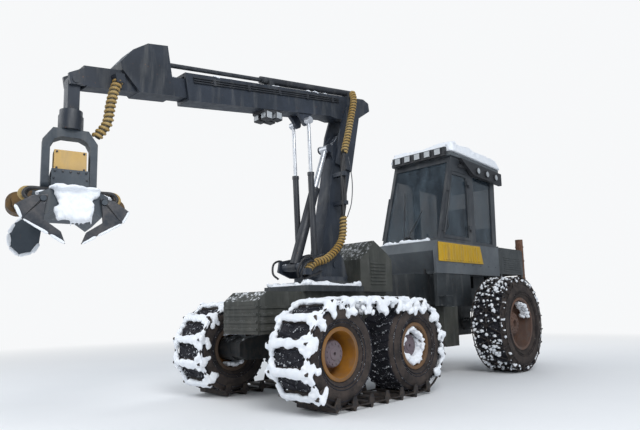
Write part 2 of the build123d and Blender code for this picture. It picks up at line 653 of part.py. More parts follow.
GLASS = 8.0
glass_y = CAB_HALF - 28.0
right_pane = side_plate(pane_in(side_windows[0], FACE_PLAY), -glass_y - GLASS, -glass_y)
left_rear_pane = side_plate(pane_in(side_windows[1], FACE_PLAY), glass_y, glass_y + GLASS)
right_rear_pane = side_plate(pane_in(side_windows[1], FACE_PLAY), -glass_y - GLASS, -glass_y)
screen_low = (front_x(WINDOW_LOW + FACE_PLAY, 20), WINDOW_LOW + FACE_PLAY)
screen_top = (front_x(3760 - FACE_PLAY, 20), 3760 - FACE_PLAY)
screen = side_plate([screen_low, screen_top, (screen_top[0] - GLASS, screen_top[1]), (screen_low[0] - GLASS, screen_low[1])],
                    -CAB_HALF + 60 + FACE_PLAY, CAB_HALF - 60 - FACE_PLAY)
back_pane = block(-4672, -4664, -CAB_HALF + 90 + FACE_PLAY, CAB_HALF - 90 - FACE_PLAY, 2700 + FACE_PLAY, 3500 - FACE_PLAY)
nodes["cab_glass"] = [right_pane, left_rear_pane, right_rear_pane, screen, back_pane]

door_outer = pane_in(side_windows[0], DOOR_GAP)
door_inner = pane_in(side_windows[0], 60.0)
door_frame = side_plate(door_outer, CAB_HALF - WALL, CAB_HALF) - side_plate(door_inner, CAB_HALF - WALL - 5, CAB_HALF + 5)
for z in DOOR_HINGE_Z:
    hub = rod((hinge_x, hinge_y, z), (hinge_x, hinge_y, z + HINGE_STRAP), DOOR_PIN_R + 5)
    strap = block(hinge_x, POST_X[0] + 60, hinge_y - 5, hinge_y + 10, z, z + HINGE_STRAP)
    foot = block(POST_X[0] + DOOR_GAP, POST_X[0] + 60, CAB_HALF - 5, hinge_y + 10, z, z + HINGE_STRAP)
    door_frame = door_frame.fuse(hub, strap, foot) - rod((hinge_x, hinge_y, z - 5), (hinge_x, hinge_y, z + HINGE_STRAP + 5), DOOR_PIN_R + PIN_PLAY)
nodes["cab_door"] = door_frame
nodes["door_glass"] = side_plate(pane_in(side_windows[0], 60.0 + FACE_PLAY), glass_y, glass_y + GLASS)

# Roof, lamps

ROOF_THICK = 60.0
roof_front = CAB_FRONT_TOP[0] + 60
roof_rear = CAB_REAR_TOP[0] - 160
roof_z = CAB_FRONT_TOP[1]
roof = side_plate([(roof_front, roof_z), (roof_front, roof_z + ROOF_THICK), (roof_rear, roof_z + ROOF_THICK - 40),
                   (roof_rear, roof_z - 40)], -CAB_HALF - 30, CAB_HALF + 30)
cab_room = side_plate([CAB_FRONT_LOW, CAB_FRONT_TOP, CAB_REAR_TOP, (CAB_REAR_X, BASE_TOP)], -CAB_HALF - 40, CAB_HALF + 40)
nodes["cab_roof"] = roof - cab_room
front_bar = block(roof_front, roof_front + 70, -CAB_HALF + 40, CAB_HALF - 40, roof_z - 10, roof_z + 150)
lamps = [block(roof_front + 70, roof_front + 95, y - 70, y + 70, roof_z + 20, roof_z + 130) for y in (-440, -220, 0, 220, 440)]
side_rack = side_plate([(-3250, 3850), (-4840, 3800), (-4840, 3560), (-3700, 3600)], CAB_HALF + 31, CAB_HALF + 100)
side_lamps = [cross_pin(x, z, CAB_HALF + 100, CAB_HALF + 125, 65.0) for x, z in ((-3850, 3700), (-4200, 3690), (-4560, 3680))]
rack_arm = block(-4840, -3300, CAB_HALF + FACE_PLAY, CAB_HALF + 31, 3700, 3760)
nodes["roof_lamps"] = [fuse([front_bar, *lamps]), *both_sides(fuse([side_rack, rack_arm, *side_lamps]))]

# Operator seat and console

floor_z = BASE_BOTTOM + 50
seat_x = -3900.0
pillar = block(seat_x - 180, seat_x + 180, -170, 170, floor_z, 2200)
cushion = block(seat_x - 260, seat_x + 260, -250, 250, 2200, 2330)
back = side_plate([(seat_x - 240, 2330), (seat_x - 120, 2330), (seat_x - 220, 3080), (seat_x - 320, 3080)], -240, 240)
nodes["operator_seat"] = fuse([pillar, cushion, back])
arms = [block(seat_x - 150, seat_x + 280, side * 270, side * 400, 2400, 2470) for side in (1, -1)]
stands = [block(seat_x - 60, seat_x + 60, side * 290, side * 380, floor_z, 2400) for side in (1, -1)]
sticks = [rod((seat_x + 220, side * 335, 2470), (seat_x + 240, side * 335, 2600), 22) for side in (1, -1)]
nodes["control_console"] = [fuse([arm, stand, stick]) for arm, stand, stick in zip(arms, stands, sticks)]

# Hood, engine and exhaust

hood_outer = block(HOOD_END_X, BASE_REAR_X, -HOOD_HALF, HOOD_HALF, *HOOD_Z)
hood_inner = block(HOOD_END_X + HOOD_WALL, BASE_REAR_X - HOOD_WALL, -HOOD_HALF + HOOD_WALL, HOOD_HALF - HOOD_WALL,
                   HOOD_Z[0] - 10, HOOD_Z[1] + 10)
hood_feet = [block(x, x + 60, side * (HOOD_HALF - HOOD_WALL), side * HOOD_HALF, CHASSIS_Z[1], HOOD_Z[0] + 5)
             for x in (HOOD_END_X + 40, BASE_REAR_X - 160) for side in (1, -1)]
hood_ribs = []
for count in range(HOOD_RIBS):
    z = 1840 + count * 45
    hood_ribs.append(side_plate([(HOOD_END_X + 2, z), (HOOD_END_X - 14, z), (HOOD_END_X + 2, z + 28)], -430, 430))
    side_rib = cross_plate([(HOOD_HALF - 2, z), (HOOD_HALF + 14, z), (HOOD_HALF - 2, z + 28)], HOOD_END_X + 130, BASE_REAR_X - 260)
    hood_ribs.extend(both_sides(side_rib))
nodes["engine_hood"] = fuse([hood_outer - hood_inner, *hood_feet, *hood_ribs])
lid = side_plate([(BASE_REAR_X - 6, HOOD_Z[1] + FACE_PLAY), (BASE_REAR_X - 6, HOOD_Z[1] + LID_THICK),
                  (HOOD_END_X + 70, HOOD_Z[1] + LID_THICK), (HOOD_END_X, HOOD_Z[1] + 25), (HOOD_END_X, HOOD_Z[1] + FACE_PLAY)],
                 -HOOD_HALF, HOOD_HALF)
lid_room = side_plate([(BASE_REAR_X - 40, HOOD_Z[1]), (BASE_REAR_X - 40, HOOD_Z[1] + LID_THICK - LID_SKIN),
                       (HOOD_END_X + 85, HOOD_Z[1] + LID_THICK - LID_SKIN), (HOOD_END_X + 85, HOOD_Z[1])],
                      40 - HOOD_HALF, HOOD_HALF - 40)
lid = lid - lid_room
lid_pin = cross_pin(lid_x, lid_z, -HOOD_HALF - 14, HOOD_HALF + 14, LID_PIN_R)
nodes["hood_lid"] = fuse([lid, lid_pin])
nodes["engine_block"] = block(-5650, -4900, -280, 280, CHASSIS_Z[1], 2150)
stack = rod((HOOD_END_X - 105, 500, 1560), (HOOD_END_X - 105, 500, 2560), 78)
nodes["exhaust_stack"] = stack

# Crane post

TABLE_Z = DECK_TOP + SLEW_RING_H + FACE_PLAY
table = rod((SLEW_X, 0, TABLE_Z), (SLEW_X, 0, TABLE_Z + TURNTABLE_H), SLEW_R - 10)
TABLE_TOP = TABLE_Z + TURNTABLE_H
ear_side = [(-560, TABLE_TOP - 5), (-480, 1900), (-380, 1990), (-220, 1990), (100, 1900), (350, 1850), (380, 1700), (140, TABLE_TOP - 5)]
ears = []
for y0, y1 in (POST_EAR_Y, (-POST_EAR_Y[1], -POST_EAR_Y[0])):
    ears.append(side_plate(ear_side, y0, y1))
foot = block(-560, -130, -POST_EAR_Y[1], POST_EAR_Y[1], TABLE_TOP - 5, TABLE_TOP + 30)
LIFT_PIN_R = 45.0
post_pins = [cross_pin(LIFT_PIN[0], LIFT_PIN[1], -POST_EAR_Y[1] - 12, POST_EAR_Y[1] + 12, LIFT_PIN_R)]
LIFT_EYE_HALF = 80.0
base_blocks = []
for side in (1, -1):
    base_blocks.append(cross_pin(LIFT_BASE_PIN[0], LIFT_BASE_PIN[1], side * (LIFT_EYE_HALF + SIDE_PLAY), side * POST_EAR_Y[1], 55.0))
LIFT_BASE_PIN_R = 30.0
base_pin = cross_pin(LIFT_BASE_PIN[0], LIFT_BASE_PIN[1], -POST_EAR_Y[1], POST_EAR_Y[1], LIFT_BASE_PIN_R)
hose_socket = block(300, 420, POST_EAR_Y[0] + 5, POST_EAR_Y[1] + 125, 1640, 1720)
nodes["crane_post"] = fuse([table, foot, *ears, *post_pins, *base_blocks, base_pin, hose_socket])

# Lift boom, from the post to the fork that carries the stick boom

boom_dir = Vector(STICK_PIN[0] - LIFT_PIN[0], 0, STICK_PIN[1] - LIFT_PIN[1])
BOOM_LENGTH = boom_dir.length
BOOM_TILT = math.degrees(math.atan2(-boom_dir.X, boom_dir.Z))


def boom_point(along, ahead):
    """A point in X and Z on the lift boom, by its distance up the boom and ahead of its axis."""
    turned = math.radians(BOOM_TILT)
    x = LIFT_PIN[0] - along * math.sin(turned) + ahead * math.cos(turned)
    z = LIFT_PIN[1] + along * math.cos(turned) + ahead * math.sin(turned)
    return x, z


beam_outline = [boom_point(a, b) for a, b in (
    (-90, -90), (-90, 90), (120, 170), (BOOM_LENGTH - 900, 190), (BOOM_LENGTH - 640, 180), (BOOM_LENGTH - 300, -60),
    (BOOM_LENGTH - 260, -190), (BOOM_LENGTH - 900, -200), (120, -160))]
beam = side_plate(beam_outline, -LIFT_BOOM_HALF, LIFT_BOOM_HALF)
hub_y = POST_EAR_Y[0] - SIDE_PLAY
foot_hub = cross_pin(LIFT_PIN[0], LIFT_PIN[1], -hub_y, hub_y, 100.0)
fork_outline = [boom_point(a, b) for a, b in (
    (BOOM_LENGTH - 1000, -180), (BOOM_LENGTH - 1000, 170), (BOOM_LENGTH - 500, 190), (BOOM_LENGTH - 60, 130),
    (BOOM_LENGTH + 90, 60), (BOOM_LENGTH + 90, -80), (BOOM_LENGTH - 60, -190))]
FORK_Y = (STICK_HALF + MOVE_GAP, STICK_HALF + MOVE_GAP + 34)
fork_ears = []
for side in (1, -1):
    fork_ears.append(side_plate(fork_outline, side * FORK_Y[0], side * FORK_Y[1]))
doubler = side_plate([boom_point(a, b) for a, b in ((BOOM_LENGTH - 1000, -150), (BOOM_LENGTH - 1000, 150),
                     (BOOM_LENGTH - 660, 150), (BOOM_LENGTH - 400, -150))], -FORK_Y[0] - 1, FORK_Y[0] + 1)
STICK_PIN_R = 45.0
top_pin = cross_pin(STICK_PIN[0], STICK_PIN[1], -FORK_Y[1] - 15, FORK_Y[1] + 15, STICK_PIN_R)
CYL_EYE_HALF = 94.0
lift_eye_half = LIFT_EYE_HALF
lift_ears = []
lift_ear = side_plate([LIFT_EYE, *[boom_point(a, b) for a, b in ((1600, 150), (2060, 150))]], lift_eye_half + SIDE_PLAY,
                      lift_eye_half + SIDE_PLAY + 25)
lift_boss = cross_pin(LIFT_EYE[0], LIFT_EYE[1], lift_eye_half + SIDE_PLAY, lift_eye_half + SIDE_PLAY + 25, 60)
lift_ears = [*both_sides(fuse([lift_ear, lift_boss]))]
cyl_bar = block(STICK_CYL_BASE[0] - 250, STICK_CYL_BASE[0] - 40, -STICK_CYL_Y + 60, STICK_CYL_Y - 60, STICK_CYL_BASE[1] - 60,
                STICK_CYL_BASE[1] + 60)
cyl_arm = block(STICK_CYL_BASE[0] - 170, STICK_CYL_BASE[0], 70, STICK_CYL_Y - CYL_EYE_HALF / 2 - SIDE_PLAY - 12,
                STICK_CYL_BASE[1] - 50, STICK_CYL_BASE[1] + 50)
cyl_pin = cross_pin(STICK_CYL_BASE[0], STICK_CYL_BASE[1], 70, STICK_CYL_Y - CYL_EYE_HALF / 2 - SIDE_PLAY, 48)
STICK_BASE_PIN_R = 24.0
cyl_through = cross_pin(STICK_CYL_BASE[0], STICK_CYL_BASE[1], -STICK_CYL_Y - CYL_EYE_HALF / 2, STICK_CYL_Y + CYL_EYE_HALF / 2,
                        STICK_BASE_PIN_R)
hose_clamps = []
for z in HOSE_CLAMP_Z:
    hose_clamps.append(block(-510, -430, LIFT_BOOM_HALF - 5, LIFT_BOOM_HALF + 235, z, z + 60))
nodes["lift_boom"] = fuse([beam, *hose_clamps, cyl_through, foot_hub, *fork_ears, doubler, top_pin, *lift_ears, cyl_bar, *both_sides(cyl_arm),
                           *both_sides(cyl_pin)]) - cross_pin(LIFT_PIN[0], LIFT_PIN[1], -400, 400, LIFT_PIN_R + PIN_PLAY)

# Lift cylinder

base = (LIFT_BASE_PIN[0], 0, LIFT_BASE_PIN[1])
eye = (LIFT_EYE[0], 0, LIFT_EYE[1])
tube, gland, shaft = cylinder_pair(base, eye, 75.0, 42.0, 1270.0, 1400.0, 62.0, LIFT_EYE_HALF)
nodes["lift_barrel"] = fuse([tube, gland, eye_disc(base, (0, 1, 0), 62.0, LIFT_EYE_HALF)]) - eye_disc(
    base, (0, 1, 0), LIFT_BASE_PIN_R + PIN_PLAY, LIFT_EYE_HALF + 5)
nodes["lift_rod"] = fuse([shaft, eye_disc(eye, (0, 1, 0), 55.0, LIFT_EYE_HALF)])

# Stick boom, in a frame along its own slope

slope = math.radians(STICK_SLOPE)


def stick_point(along, up):
    """A point in X and Z on the stick, by its distance ahead of the pivot and above the middle line."""
    rise = up + STICK_PIN_DROP
    x = STICK_PIN[0] + along * math.cos(slope) + rise * math.sin(slope)
    z = STICK_PIN[1] - along * math.sin(slope) + rise * math.cos(slope)
    return x, z


def stick_plate(points, y0, y1):
    return side_plate([stick_point(a, b) for a, b in points], y0, y1)


half = STICK_DEPTH / 2
eye_up = -half - STICK_EYE_DROP
STICK_CYL_EYE = stick_point(STICK_EYE_ALONG, eye_up)
stick_box = stick_plate([(-STICK_TAIL, half - 60), (-STICK_TAIL + 120, half), (STICK_REACH, half), (STICK_REACH, -half),
                         (500, -half), (350, -half - 30), (-180, -half), (-STICK_TAIL, -half + 150)], -STICK_HALF, STICK_HALF)
bore_half = TELE_DEPTH / 2 + 8
tele_bore = stick_plate([(520, bore_half), (STICK_REACH + 10, bore_half), (STICK_REACH + 10, -bore_half), (520, -bore_half)],
                        -TELE_HALF - 8, TELE_HALF + 8)
pin_hole = cross_pin(STICK_PIN[0], STICK_PIN[1], -300, 300, STICK_PIN_R + PIN_PLAY)
eye_ear = []
for y in (STICK_CYL_Y, -STICK_CYL_Y):
    step = 1 if y > 0 else -1
    inner = STICK_CYL_Y - CYL_EYE_HALF / 2 - SIDE_PLAY
    ex, ez = STICK_CYL_EYE
    eye_ear.append(stick_plate([(STICK_EYE_ALONG - 55, eye_up), (STICK_EYE_ALONG - 150, -half + 15),
                                (STICK_EYE_ALONG + 150, -half + 15), (STICK_EYE_ALONG + 55, eye_up)], step * 60, step * inner))
    eye_ear.append(cross_pin(ex, ez, step * 60, step * inner, 60))
pads = []
for up0, up1 in ((bore_half - 8 + FACE_PLAY, bore_half + 2), (-bore_half - 2, -bore_half + 8 - FACE_PLAY)):
    pads.append(stick_plate([(STICK_REACH - 160, up0), (STICK_REACH - 20, up0), (STICK_REACH - 20, up1), (STICK_REACH - 160, up1)],
                            -TELE_HALF + 10, TELE_HALF - 10))
nodes["stick_boom"] = fuse([stick_box - tele_bore, *eye_ear, *pads]) - pin_hole

# Twin stick cylinders

barrels = []
rods = []
for side in (1, -1):
    base = (STICK_CYL_BASE[0], side * STICK_CYL_Y, STICK_CYL_BASE[1])
    eye = (STICK_CYL_EYE[0], side * STICK_CYL_Y, STICK_CYL_EYE[1])
    tube, gland, shaft = cylinder_pair(base, eye, 44.0, 26.0, 1250.0, 1330.0, 50.0, CYL_EYE_HALF / 2)
    barrels.append(fuse([tube, gland, eye_disc(base, (0, 1, 0), 50.0, CYL_EYE_HALF / 2)]) - eye_disc(
        base, (0, 1, 0), STICK_BASE_PIN_R + PIN_PLAY, CYL_EYE_HALF))
    rods.append(fuse([shaft, eye_disc(eye, (0, 1, 0), 50.0, CYL_EYE_HALF / 2)]))
nodes["stick_barrels"] = barrels
nodes["stick_rods"] = rods

# Telescope boom with its knuckle, and the extension cylinder on top

tele_half = TELE_DEPTH / 2
tele_box = stick_plate([(900, tele_half), (TELE_TIP, tele_half - 30), (TELE_TIP, -tele_half), (900, -tele_half)],
                       -TELE_HALF, TELE_HALF)
k0 = STICK_REACH + 190
k1 = k0 + KNUCKLE_FOOT
knuckle_side = [(k0, -tele_half - 10), (k0, 455), (k0 + 256, 440), (k0 + 450, 340), (k0 + 620, 178), (k0 + 600, tele_half - 40),
                (k1, -tele_half - 10)]
knuckle = stick_plate(knuckle_side, -TELE_HALF - 45, TELE_HALF + 45)
hose_clip = stick_plate([(k1 + 190, -80), (k1 + 190, 20), (k1 + 290, 20), (k1 + 290, -80)], TELE_HALF - 5, TELE_HALF + 115)
TIP_PIN_R = 35.0
LINK_HALF = 55.0
tip_ears = []
for side in (1, -1):
    tip_ears.append(stick_plate([(TELE_TIP - 160, -tele_half + 10), (TELE_TIP - 160, tele_half - 60), (TELE_TIP + 10, tele_half - 60),
                                 (TELE_TIP + 165, 0), (TELE_TIP + 165, -tele_half + 10)],
                                side * (LINK_HALF + SIDE_PLAY), side * TELE_HALF))
TIP_ALONG = TELE_TIP + 105
TIP_PIN = stick_point(TIP_ALONG, -tele_half + 60)
tip_pin = cross_pin(TIP_PIN[0], TIP_PIN[1], -TELE_HALF - 10, TELE_HALF + 10, TIP_PIN_R)
nodes["telescope_boom"] = fuse([tele_box, knuckle, hose_clip, *tip_ears, tip_pin])

EXT_UP = half + 110
EXT_R = 50.0
ext_x0, ext_x1 = -200.0, 1700.0
ext_tube = rod((*stick_point(ext_x0, EXT_UP)[:1], 0, stick_point(ext_x0, EXT_UP)[1]),
               (stick_point(ext_x1, EXT_UP)[0], 0, stick_point(ext_x1, EXT_UP)[1]), EXT_R)


def stick_rod(a0, a1, up, y, radius):
    p0 = stick_point(a0, up)
    p1 = stick_point(a1, up)
    return rod((p0[0], y, p0[1]), (p1[0], y, p1[1]), radius)


EXT_ROD_R = 28.0
ext_bore = stick_rod(ext_x0 + 40, ext_x1 - 40, EXT_UP, 0, EXT_R - 12)
ext_mouth = stick_rod(ext_x1 - 50, ext_x1 + 10, EXT_UP, 0, EXT_ROD_R + PIN_PLAY)
ext_saddles = [stick_plate([(a, half), (a + 90, half), (a + 90, EXT_UP), (a, EXT_UP)], -60, 60) for a in (-180, 1500)]
nodes["extension_barrel"] = fuse([ext_tube, *ext_saddles]) - ext_bore - ext_mouth
nodes["extension_rod"] = fuse([stick_rod(ext_x0 + 60, k0, EXT_UP, 0, EXT_ROD_R),
                               stick_rod(ext_x0 + 60, ext_x0 + 110, EXT_UP, 0, EXT_R - 12 - PIN_PLAY)])

lamp_cluster = []
for along in (1560.0, 1740.0):
    for side in (1, -1):
        x, z = stick_point(along, -half - 75)
        lamp_cluster.append(block(x - 60, x + 60, side * 20, side * 130, z - 60, z + 60))
lamp_bar = stick_plate([(1480, -half), (1820, -half), (1820, -half - 40), (1480, -half - 40)], -125, 125)
nodes["boom_lamps"] = fuse([lamp_bar, *lamp_cluster])

# Tip link and rotator

LINK_X, LINK_Z = TIP_PIN
link_low = LINK_Z - LINK_DROP
link_plate = block(LINK_X - 60, LINK_X + 60, -LINK_HALF, LINK_HALF, link_low, LINK_Z)
link_top = cross_pin(LINK_X, LINK_Z, -LINK_HALF, LINK_HALF, 60)
link_flange = rod((LINK_X, 0, link_low), (LINK_X, 0, link_low + 60), 110)
nodes["tip_link"] = fuse([link_plate, link_top, link_flange]) - cross_pin(LINK_X, LINK_Z, -200, 200, TIP_PIN_R + PIN_PLAY)
rot_top = link_low - FACE_PLAY
rot_low = rot_top - ROTATOR_H
nodes["rotator"] = rod((LINK_X, 0, rot_low), (LINK_X, 0, rot_top), 120)

# Head, drawn about the rotator with local X along the tree, then turned by its yaw

YOKE_TOP = rot_low
YOKE_HALF = 255.0
YOKE_LEG = 70.0
YOKE_DEPTH = 75.0
TILT_DROP = 560.0
TILT_Z = YOKE_TOP - TILT_DROP
head_place = Location((LINK_X, 0, 0), (0, 0, HEAD_YAW))


def head_section(points, x0, x1):
    return cross_plate(points, x0, x1)


yoke_out = [(-YOKE_HALF, TILT_Z), (-YOKE_HALF, YOKE_TOP - 130), (-YOKE_HALF + 90, YOKE_TOP), (YOKE_HALF - 90, YOKE_TOP),
            (YOKE_HALF, YOKE_TOP - 130), (YOKE_HALF, TILT_Z)]
yi = YOKE_HALF - YOKE_LEG
yoke_in = [(-yi, TILT_Z - 80), (-yi, YOKE_TOP - 185), (35 - yi, YOKE_TOP - 118), (100 - yi, YOKE_TOP - 85), (yi - 100, YOKE_TOP - 85),
           (yi - 35, YOKE_TOP - 118), (yi, YOKE_TOP - 185), (yi, TILT_Z - 80)]
yoke = head_section(yoke_out, -YOKE_DEPTH, YOKE_DEPTH) - head_section(yoke_in, -YOKE_DEPTH - 5, YOKE_DEPTH + 5)
yoke_ends = [rod((0, side * yi, TILT_Z), (0, side * YOKE_HALF, TILT_Z), YOKE_DEPTH) for side in (1, -1)]
TILT_PIN_R = 40.0
TILT_PLAY = 0.2
core_half = yi - SIDE_PLAY
tilt_pins = [rod((0, side * (yi - 60), TILT_Z), (0, side * YOKE_HALF, TILT_Z), TILT_PIN_R) for side in (1, -1)]
nodes["head_yoke"] = head_place * fuse([yoke, *yoke_ends, *tilt_pins])

core = block(-160, 160, -core_half + 15, core_half - 15, TILT_Z - 150, TILT_Z + 120)
cheeks = [rod((0, side * (core_half - 15), TILT_Z), (0, side * core_half, TILT_Z), 70) for side in (1, -1)]
body_top = TILT_Z - 150
spine = head_section([(-170, body_top), (170, body_top), (290, body_top - 60), (300, body_top - 190), (230, body_top - 250),
                      (120, body_top - 170), (-120, body_top - 170), (-230, body_top - 250), (-300, body_top - 190),
                      (-290, body_top - 60)], -520, 560)
KNIFE_PIN = (255.0, body_top - 120)
KNIFE_PIN_R = 26.0
knife_x = (560.0 + SIDE_PLAY, 600.0)
FEED_PIN = (300.0, body_top + 20)
FEED_PIN_R = 24.0
FEED_HUB_R = 52.0
feed_x = (40.0, 110.0)
EAR_THICK = 26.0
head_pins = []
for side in (1, -1):
    y, z = side * KNIFE_PIN[0], KNIFE_PIN[1]
    head_pins.append(rod((540, y, z), (knife_x[1] + 14, y, z), KNIFE_PIN_R))
    y, z = side * FEED_PIN[0], FEED_PIN[1]
    near, far = feed_x[0] - SIDE_PLAY, feed_x[1] + SIDE_PLAY
    head_pins.append(rod((near - EAR_THICK, y, z), (far + EAR_THICK, y, z), FEED_PIN_R))
    for x0, x1 in ((near - EAR_THICK, near), (far, far + EAR_THICK)):
        ear_in = YOKE_HALF + MOVE_GAP
        ear = head_section([(side * ear_in, body_top - 30), (side * 240, body_top - 80), (side * (FEED_PIN[0] + 30), z - 20),
                            (side * (FEED_PIN[0] + 20), z + 40), (side * ear_in, z + 40)], x0, x1)
        head_pins.append(ear)
head_solid = fuse([core, *cheeks, spine, *head_pins])
nodes["head_frame"] = head_place * (head_solid - rod((0, -300, TILT_Z), (0, 300, TILT_Z), TILT_PIN_R + TILT_PLAY))
nodes["valve_cover"] = head_place * side_plate(
    [(-120, TILT_Z + 120), (120, TILT_Z + 120), (95, TILT_Z + 330), (-95, TILT_Z + 330)], -150, 150)

# Delimbing knives and feed arms hang from pins along the tree


def knife(side, x0, x1):
    """A curved blade from its pin down and in under the tree."""
    y, z = KNIFE_PIN
    points = [(y - 40, z + 40), (y + 90, z + 20), (y + 220, z - 70), (y + 160, z - 190), (y - 60, z - 320), (y - 190, z - 400),
              (y - 150, z - 290), (y - 10, z - 190), (y - 20, z - 60)]
    blade = head_section([(side * a, b) for a, b in points], x0, x1)
    return blade - rod((x0 - 5, side * y, z), (x1 + 5, side * y, z), KNIFE_PIN_R + PIN_PLAY)


def knife_node(side):
    return head_place * knife(side, *knife_x)


nodes["knife_l"] = knife_node(1)
nodes["knife_r"] = knife_node(-1)


ROLLER_R = 105.0
ROLLER_X = (-190.0, 30.0)


def feed_arm(side):
    """An arm on its pin and the spiked feed roller that it presses on the tree."""
    y, z = FEED_PIN
    roller_y, roller_z = y + 140, z - 90
    hub = rod((feed_x[0], side * y, z), (feed_x[1], side * y, z), FEED_HUB_R)
    arm = head_section([(side * a, b) for a, b in (
        (y - 20, z + 48), (y + 90, z + 52), (roller_y + 60, roller_z + 40), (roller_y + 40, roller_z - 50), (roller_y - 40, roller_z - 40),
        (y + 40, z - 30))], *feed_x)
    axle = rod((ROLLER_X[0] - 20, side * roller_y, roller_z), (feed_x[1], side * roller_y, roller_z), 38)
    roller = rod((ROLLER_X[0], side * roller_y, roller_z), (ROLLER_X[1], side * roller_y, roller_z), ROLLER_R)
    pin_hole = rod((feed_x[0] - 5, side * y, z), (feed_x[1] + 5, side * y, z), FEED_PIN_R + PIN_PLAY)
    return head_place * (fuse([hub, arm, axle, roller]) - pin_hole)


nodes["feed_arm_l"] = feed_arm(1)
nodes["feed_arm_r"] = feed_arm(-1)

guard_side = [(-120, -40), (-290, -40), (-450, -190), (-500, -300), (-490, -440), (-400, -530), (-280, -500), (-215, -390),
              (-200, -250), (-120, -160)]
saw = head_section([(y, body_top + z) for y, z in guard_side], -600, -520 - FACE_PLAY)
nodes["saw_box"] = head_place * saw

# Origin to the middle of the bounding box, then one file per node


def flat_list(shape):
    found = []
    for piece in (shape if isinstance(shape, list) else [shape]):
        found.extend(piece.solids())
    return found


bounds = Compound([solid for shape in nodes.values() for solid in flat_list(shape)]).bounding_box()
ORIGIN_X = (bounds.min.X + bounds.max.X) / 2
print("origin_x", ORIGIN_X, "box", bounds.min, bounds.max)
os.makedirs("parts", exist_ok=True)
for name, shape in nodes.items():
    solids = [Pos(-ORIGIN_X, 0, 0) * solid for solid in flat_list(shape)]
    export_step(solids[0] if len(solids) == 1 else Compound(solids), "parts/" + name + ".step")
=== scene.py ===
"""Looks of a six-wheeled forestry harvester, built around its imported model.

Metres. Machine coordinates have X forward from the middle of the front bogie, Y left and Z up from the
ground. at() turns them into the frame's own coordinates.
"""
import json
import random
from math import cos, pi, radians, sin, sqrt, tau

import bmesh
import bpy
from mathutils import Matrix, Vector, noise


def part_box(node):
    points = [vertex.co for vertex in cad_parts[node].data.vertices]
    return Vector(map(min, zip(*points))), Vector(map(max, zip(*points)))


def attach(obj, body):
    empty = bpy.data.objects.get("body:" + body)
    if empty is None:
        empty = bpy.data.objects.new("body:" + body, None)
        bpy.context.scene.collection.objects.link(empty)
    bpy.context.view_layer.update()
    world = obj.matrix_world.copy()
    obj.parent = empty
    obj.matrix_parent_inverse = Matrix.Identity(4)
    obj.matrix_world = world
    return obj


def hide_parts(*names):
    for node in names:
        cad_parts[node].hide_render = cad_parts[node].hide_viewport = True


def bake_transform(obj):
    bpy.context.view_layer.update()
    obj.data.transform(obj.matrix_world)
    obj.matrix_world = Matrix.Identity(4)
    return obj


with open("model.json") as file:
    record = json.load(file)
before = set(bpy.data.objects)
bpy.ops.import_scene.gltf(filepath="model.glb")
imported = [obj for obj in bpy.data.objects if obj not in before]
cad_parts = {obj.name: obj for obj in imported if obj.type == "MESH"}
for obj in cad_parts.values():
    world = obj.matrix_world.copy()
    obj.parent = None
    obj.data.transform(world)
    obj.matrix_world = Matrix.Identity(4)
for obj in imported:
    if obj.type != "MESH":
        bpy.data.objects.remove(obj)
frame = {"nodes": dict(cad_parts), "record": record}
scene = bpy.context.scene
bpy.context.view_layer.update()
NODES = frame["nodes"]
bogie_low, bogie_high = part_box("bogie_axle")
BOGIE_X = (bogie_low.x + bogie_high.x) / 2
SEED = 7


def at(x, y, z):
    return Vector((x + BOGIE_X, y, z))


def add_object(name, data):
    made = bpy.data.objects.new(name, data)
    scene.collection.objects.link(made)
    return made


# Camera: fitted to the photograph from the wheels, tracks and crane

PHOTO_WIDTH = 640.0
FOCAL_PIXELS = 537.8
SENSOR = 36.0
CENTRE_DROP = 25.0
CAMERA_AT = (5.42, 5.519, 1.184)
CAMERA_YAW = -2.37
CAMERA_PITCH = 0.126
CAMERA_ROLL = -0.023


def make_camera():
    data = bpy.data.cameras.new("photo_camera")
    camera = add_object("photo_camera", data)
    data.sensor_width = SENSOR
    data.lens = FOCAL_PIXELS * SENSOR / PHOTO_WIDTH
    data.shift_y = CENTRE_DROP / PHOTO_WIDTH
    cos_yaw, sin_yaw = cos(CAMERA_YAW), sin(CAMERA_YAW)
    cos_pitch, sin_pitch = cos(CAMERA_PITCH), sin(CAMERA_PITCH)
    ahead = Vector((cos_yaw * cos_pitch, sin_yaw * cos_pitch, sin_pitch))
    level = Vector((sin_yaw, -cos_yaw, 0))
    up = level.cross(ahead)
    cos_roll, sin_roll = cos(CAMERA_ROLL), sin(CAMERA_ROLL)
    right = level * cos_roll + up * sin_roll
    above = up * cos_roll - level * sin_roll
    turn = Matrix((right, above, -ahead)).transposed()
    camera.matrix_world = Matrix.Translation(at(*CAMERA_AT)) @ turn.to_4x4()
    scene.camera = camera


# Materials

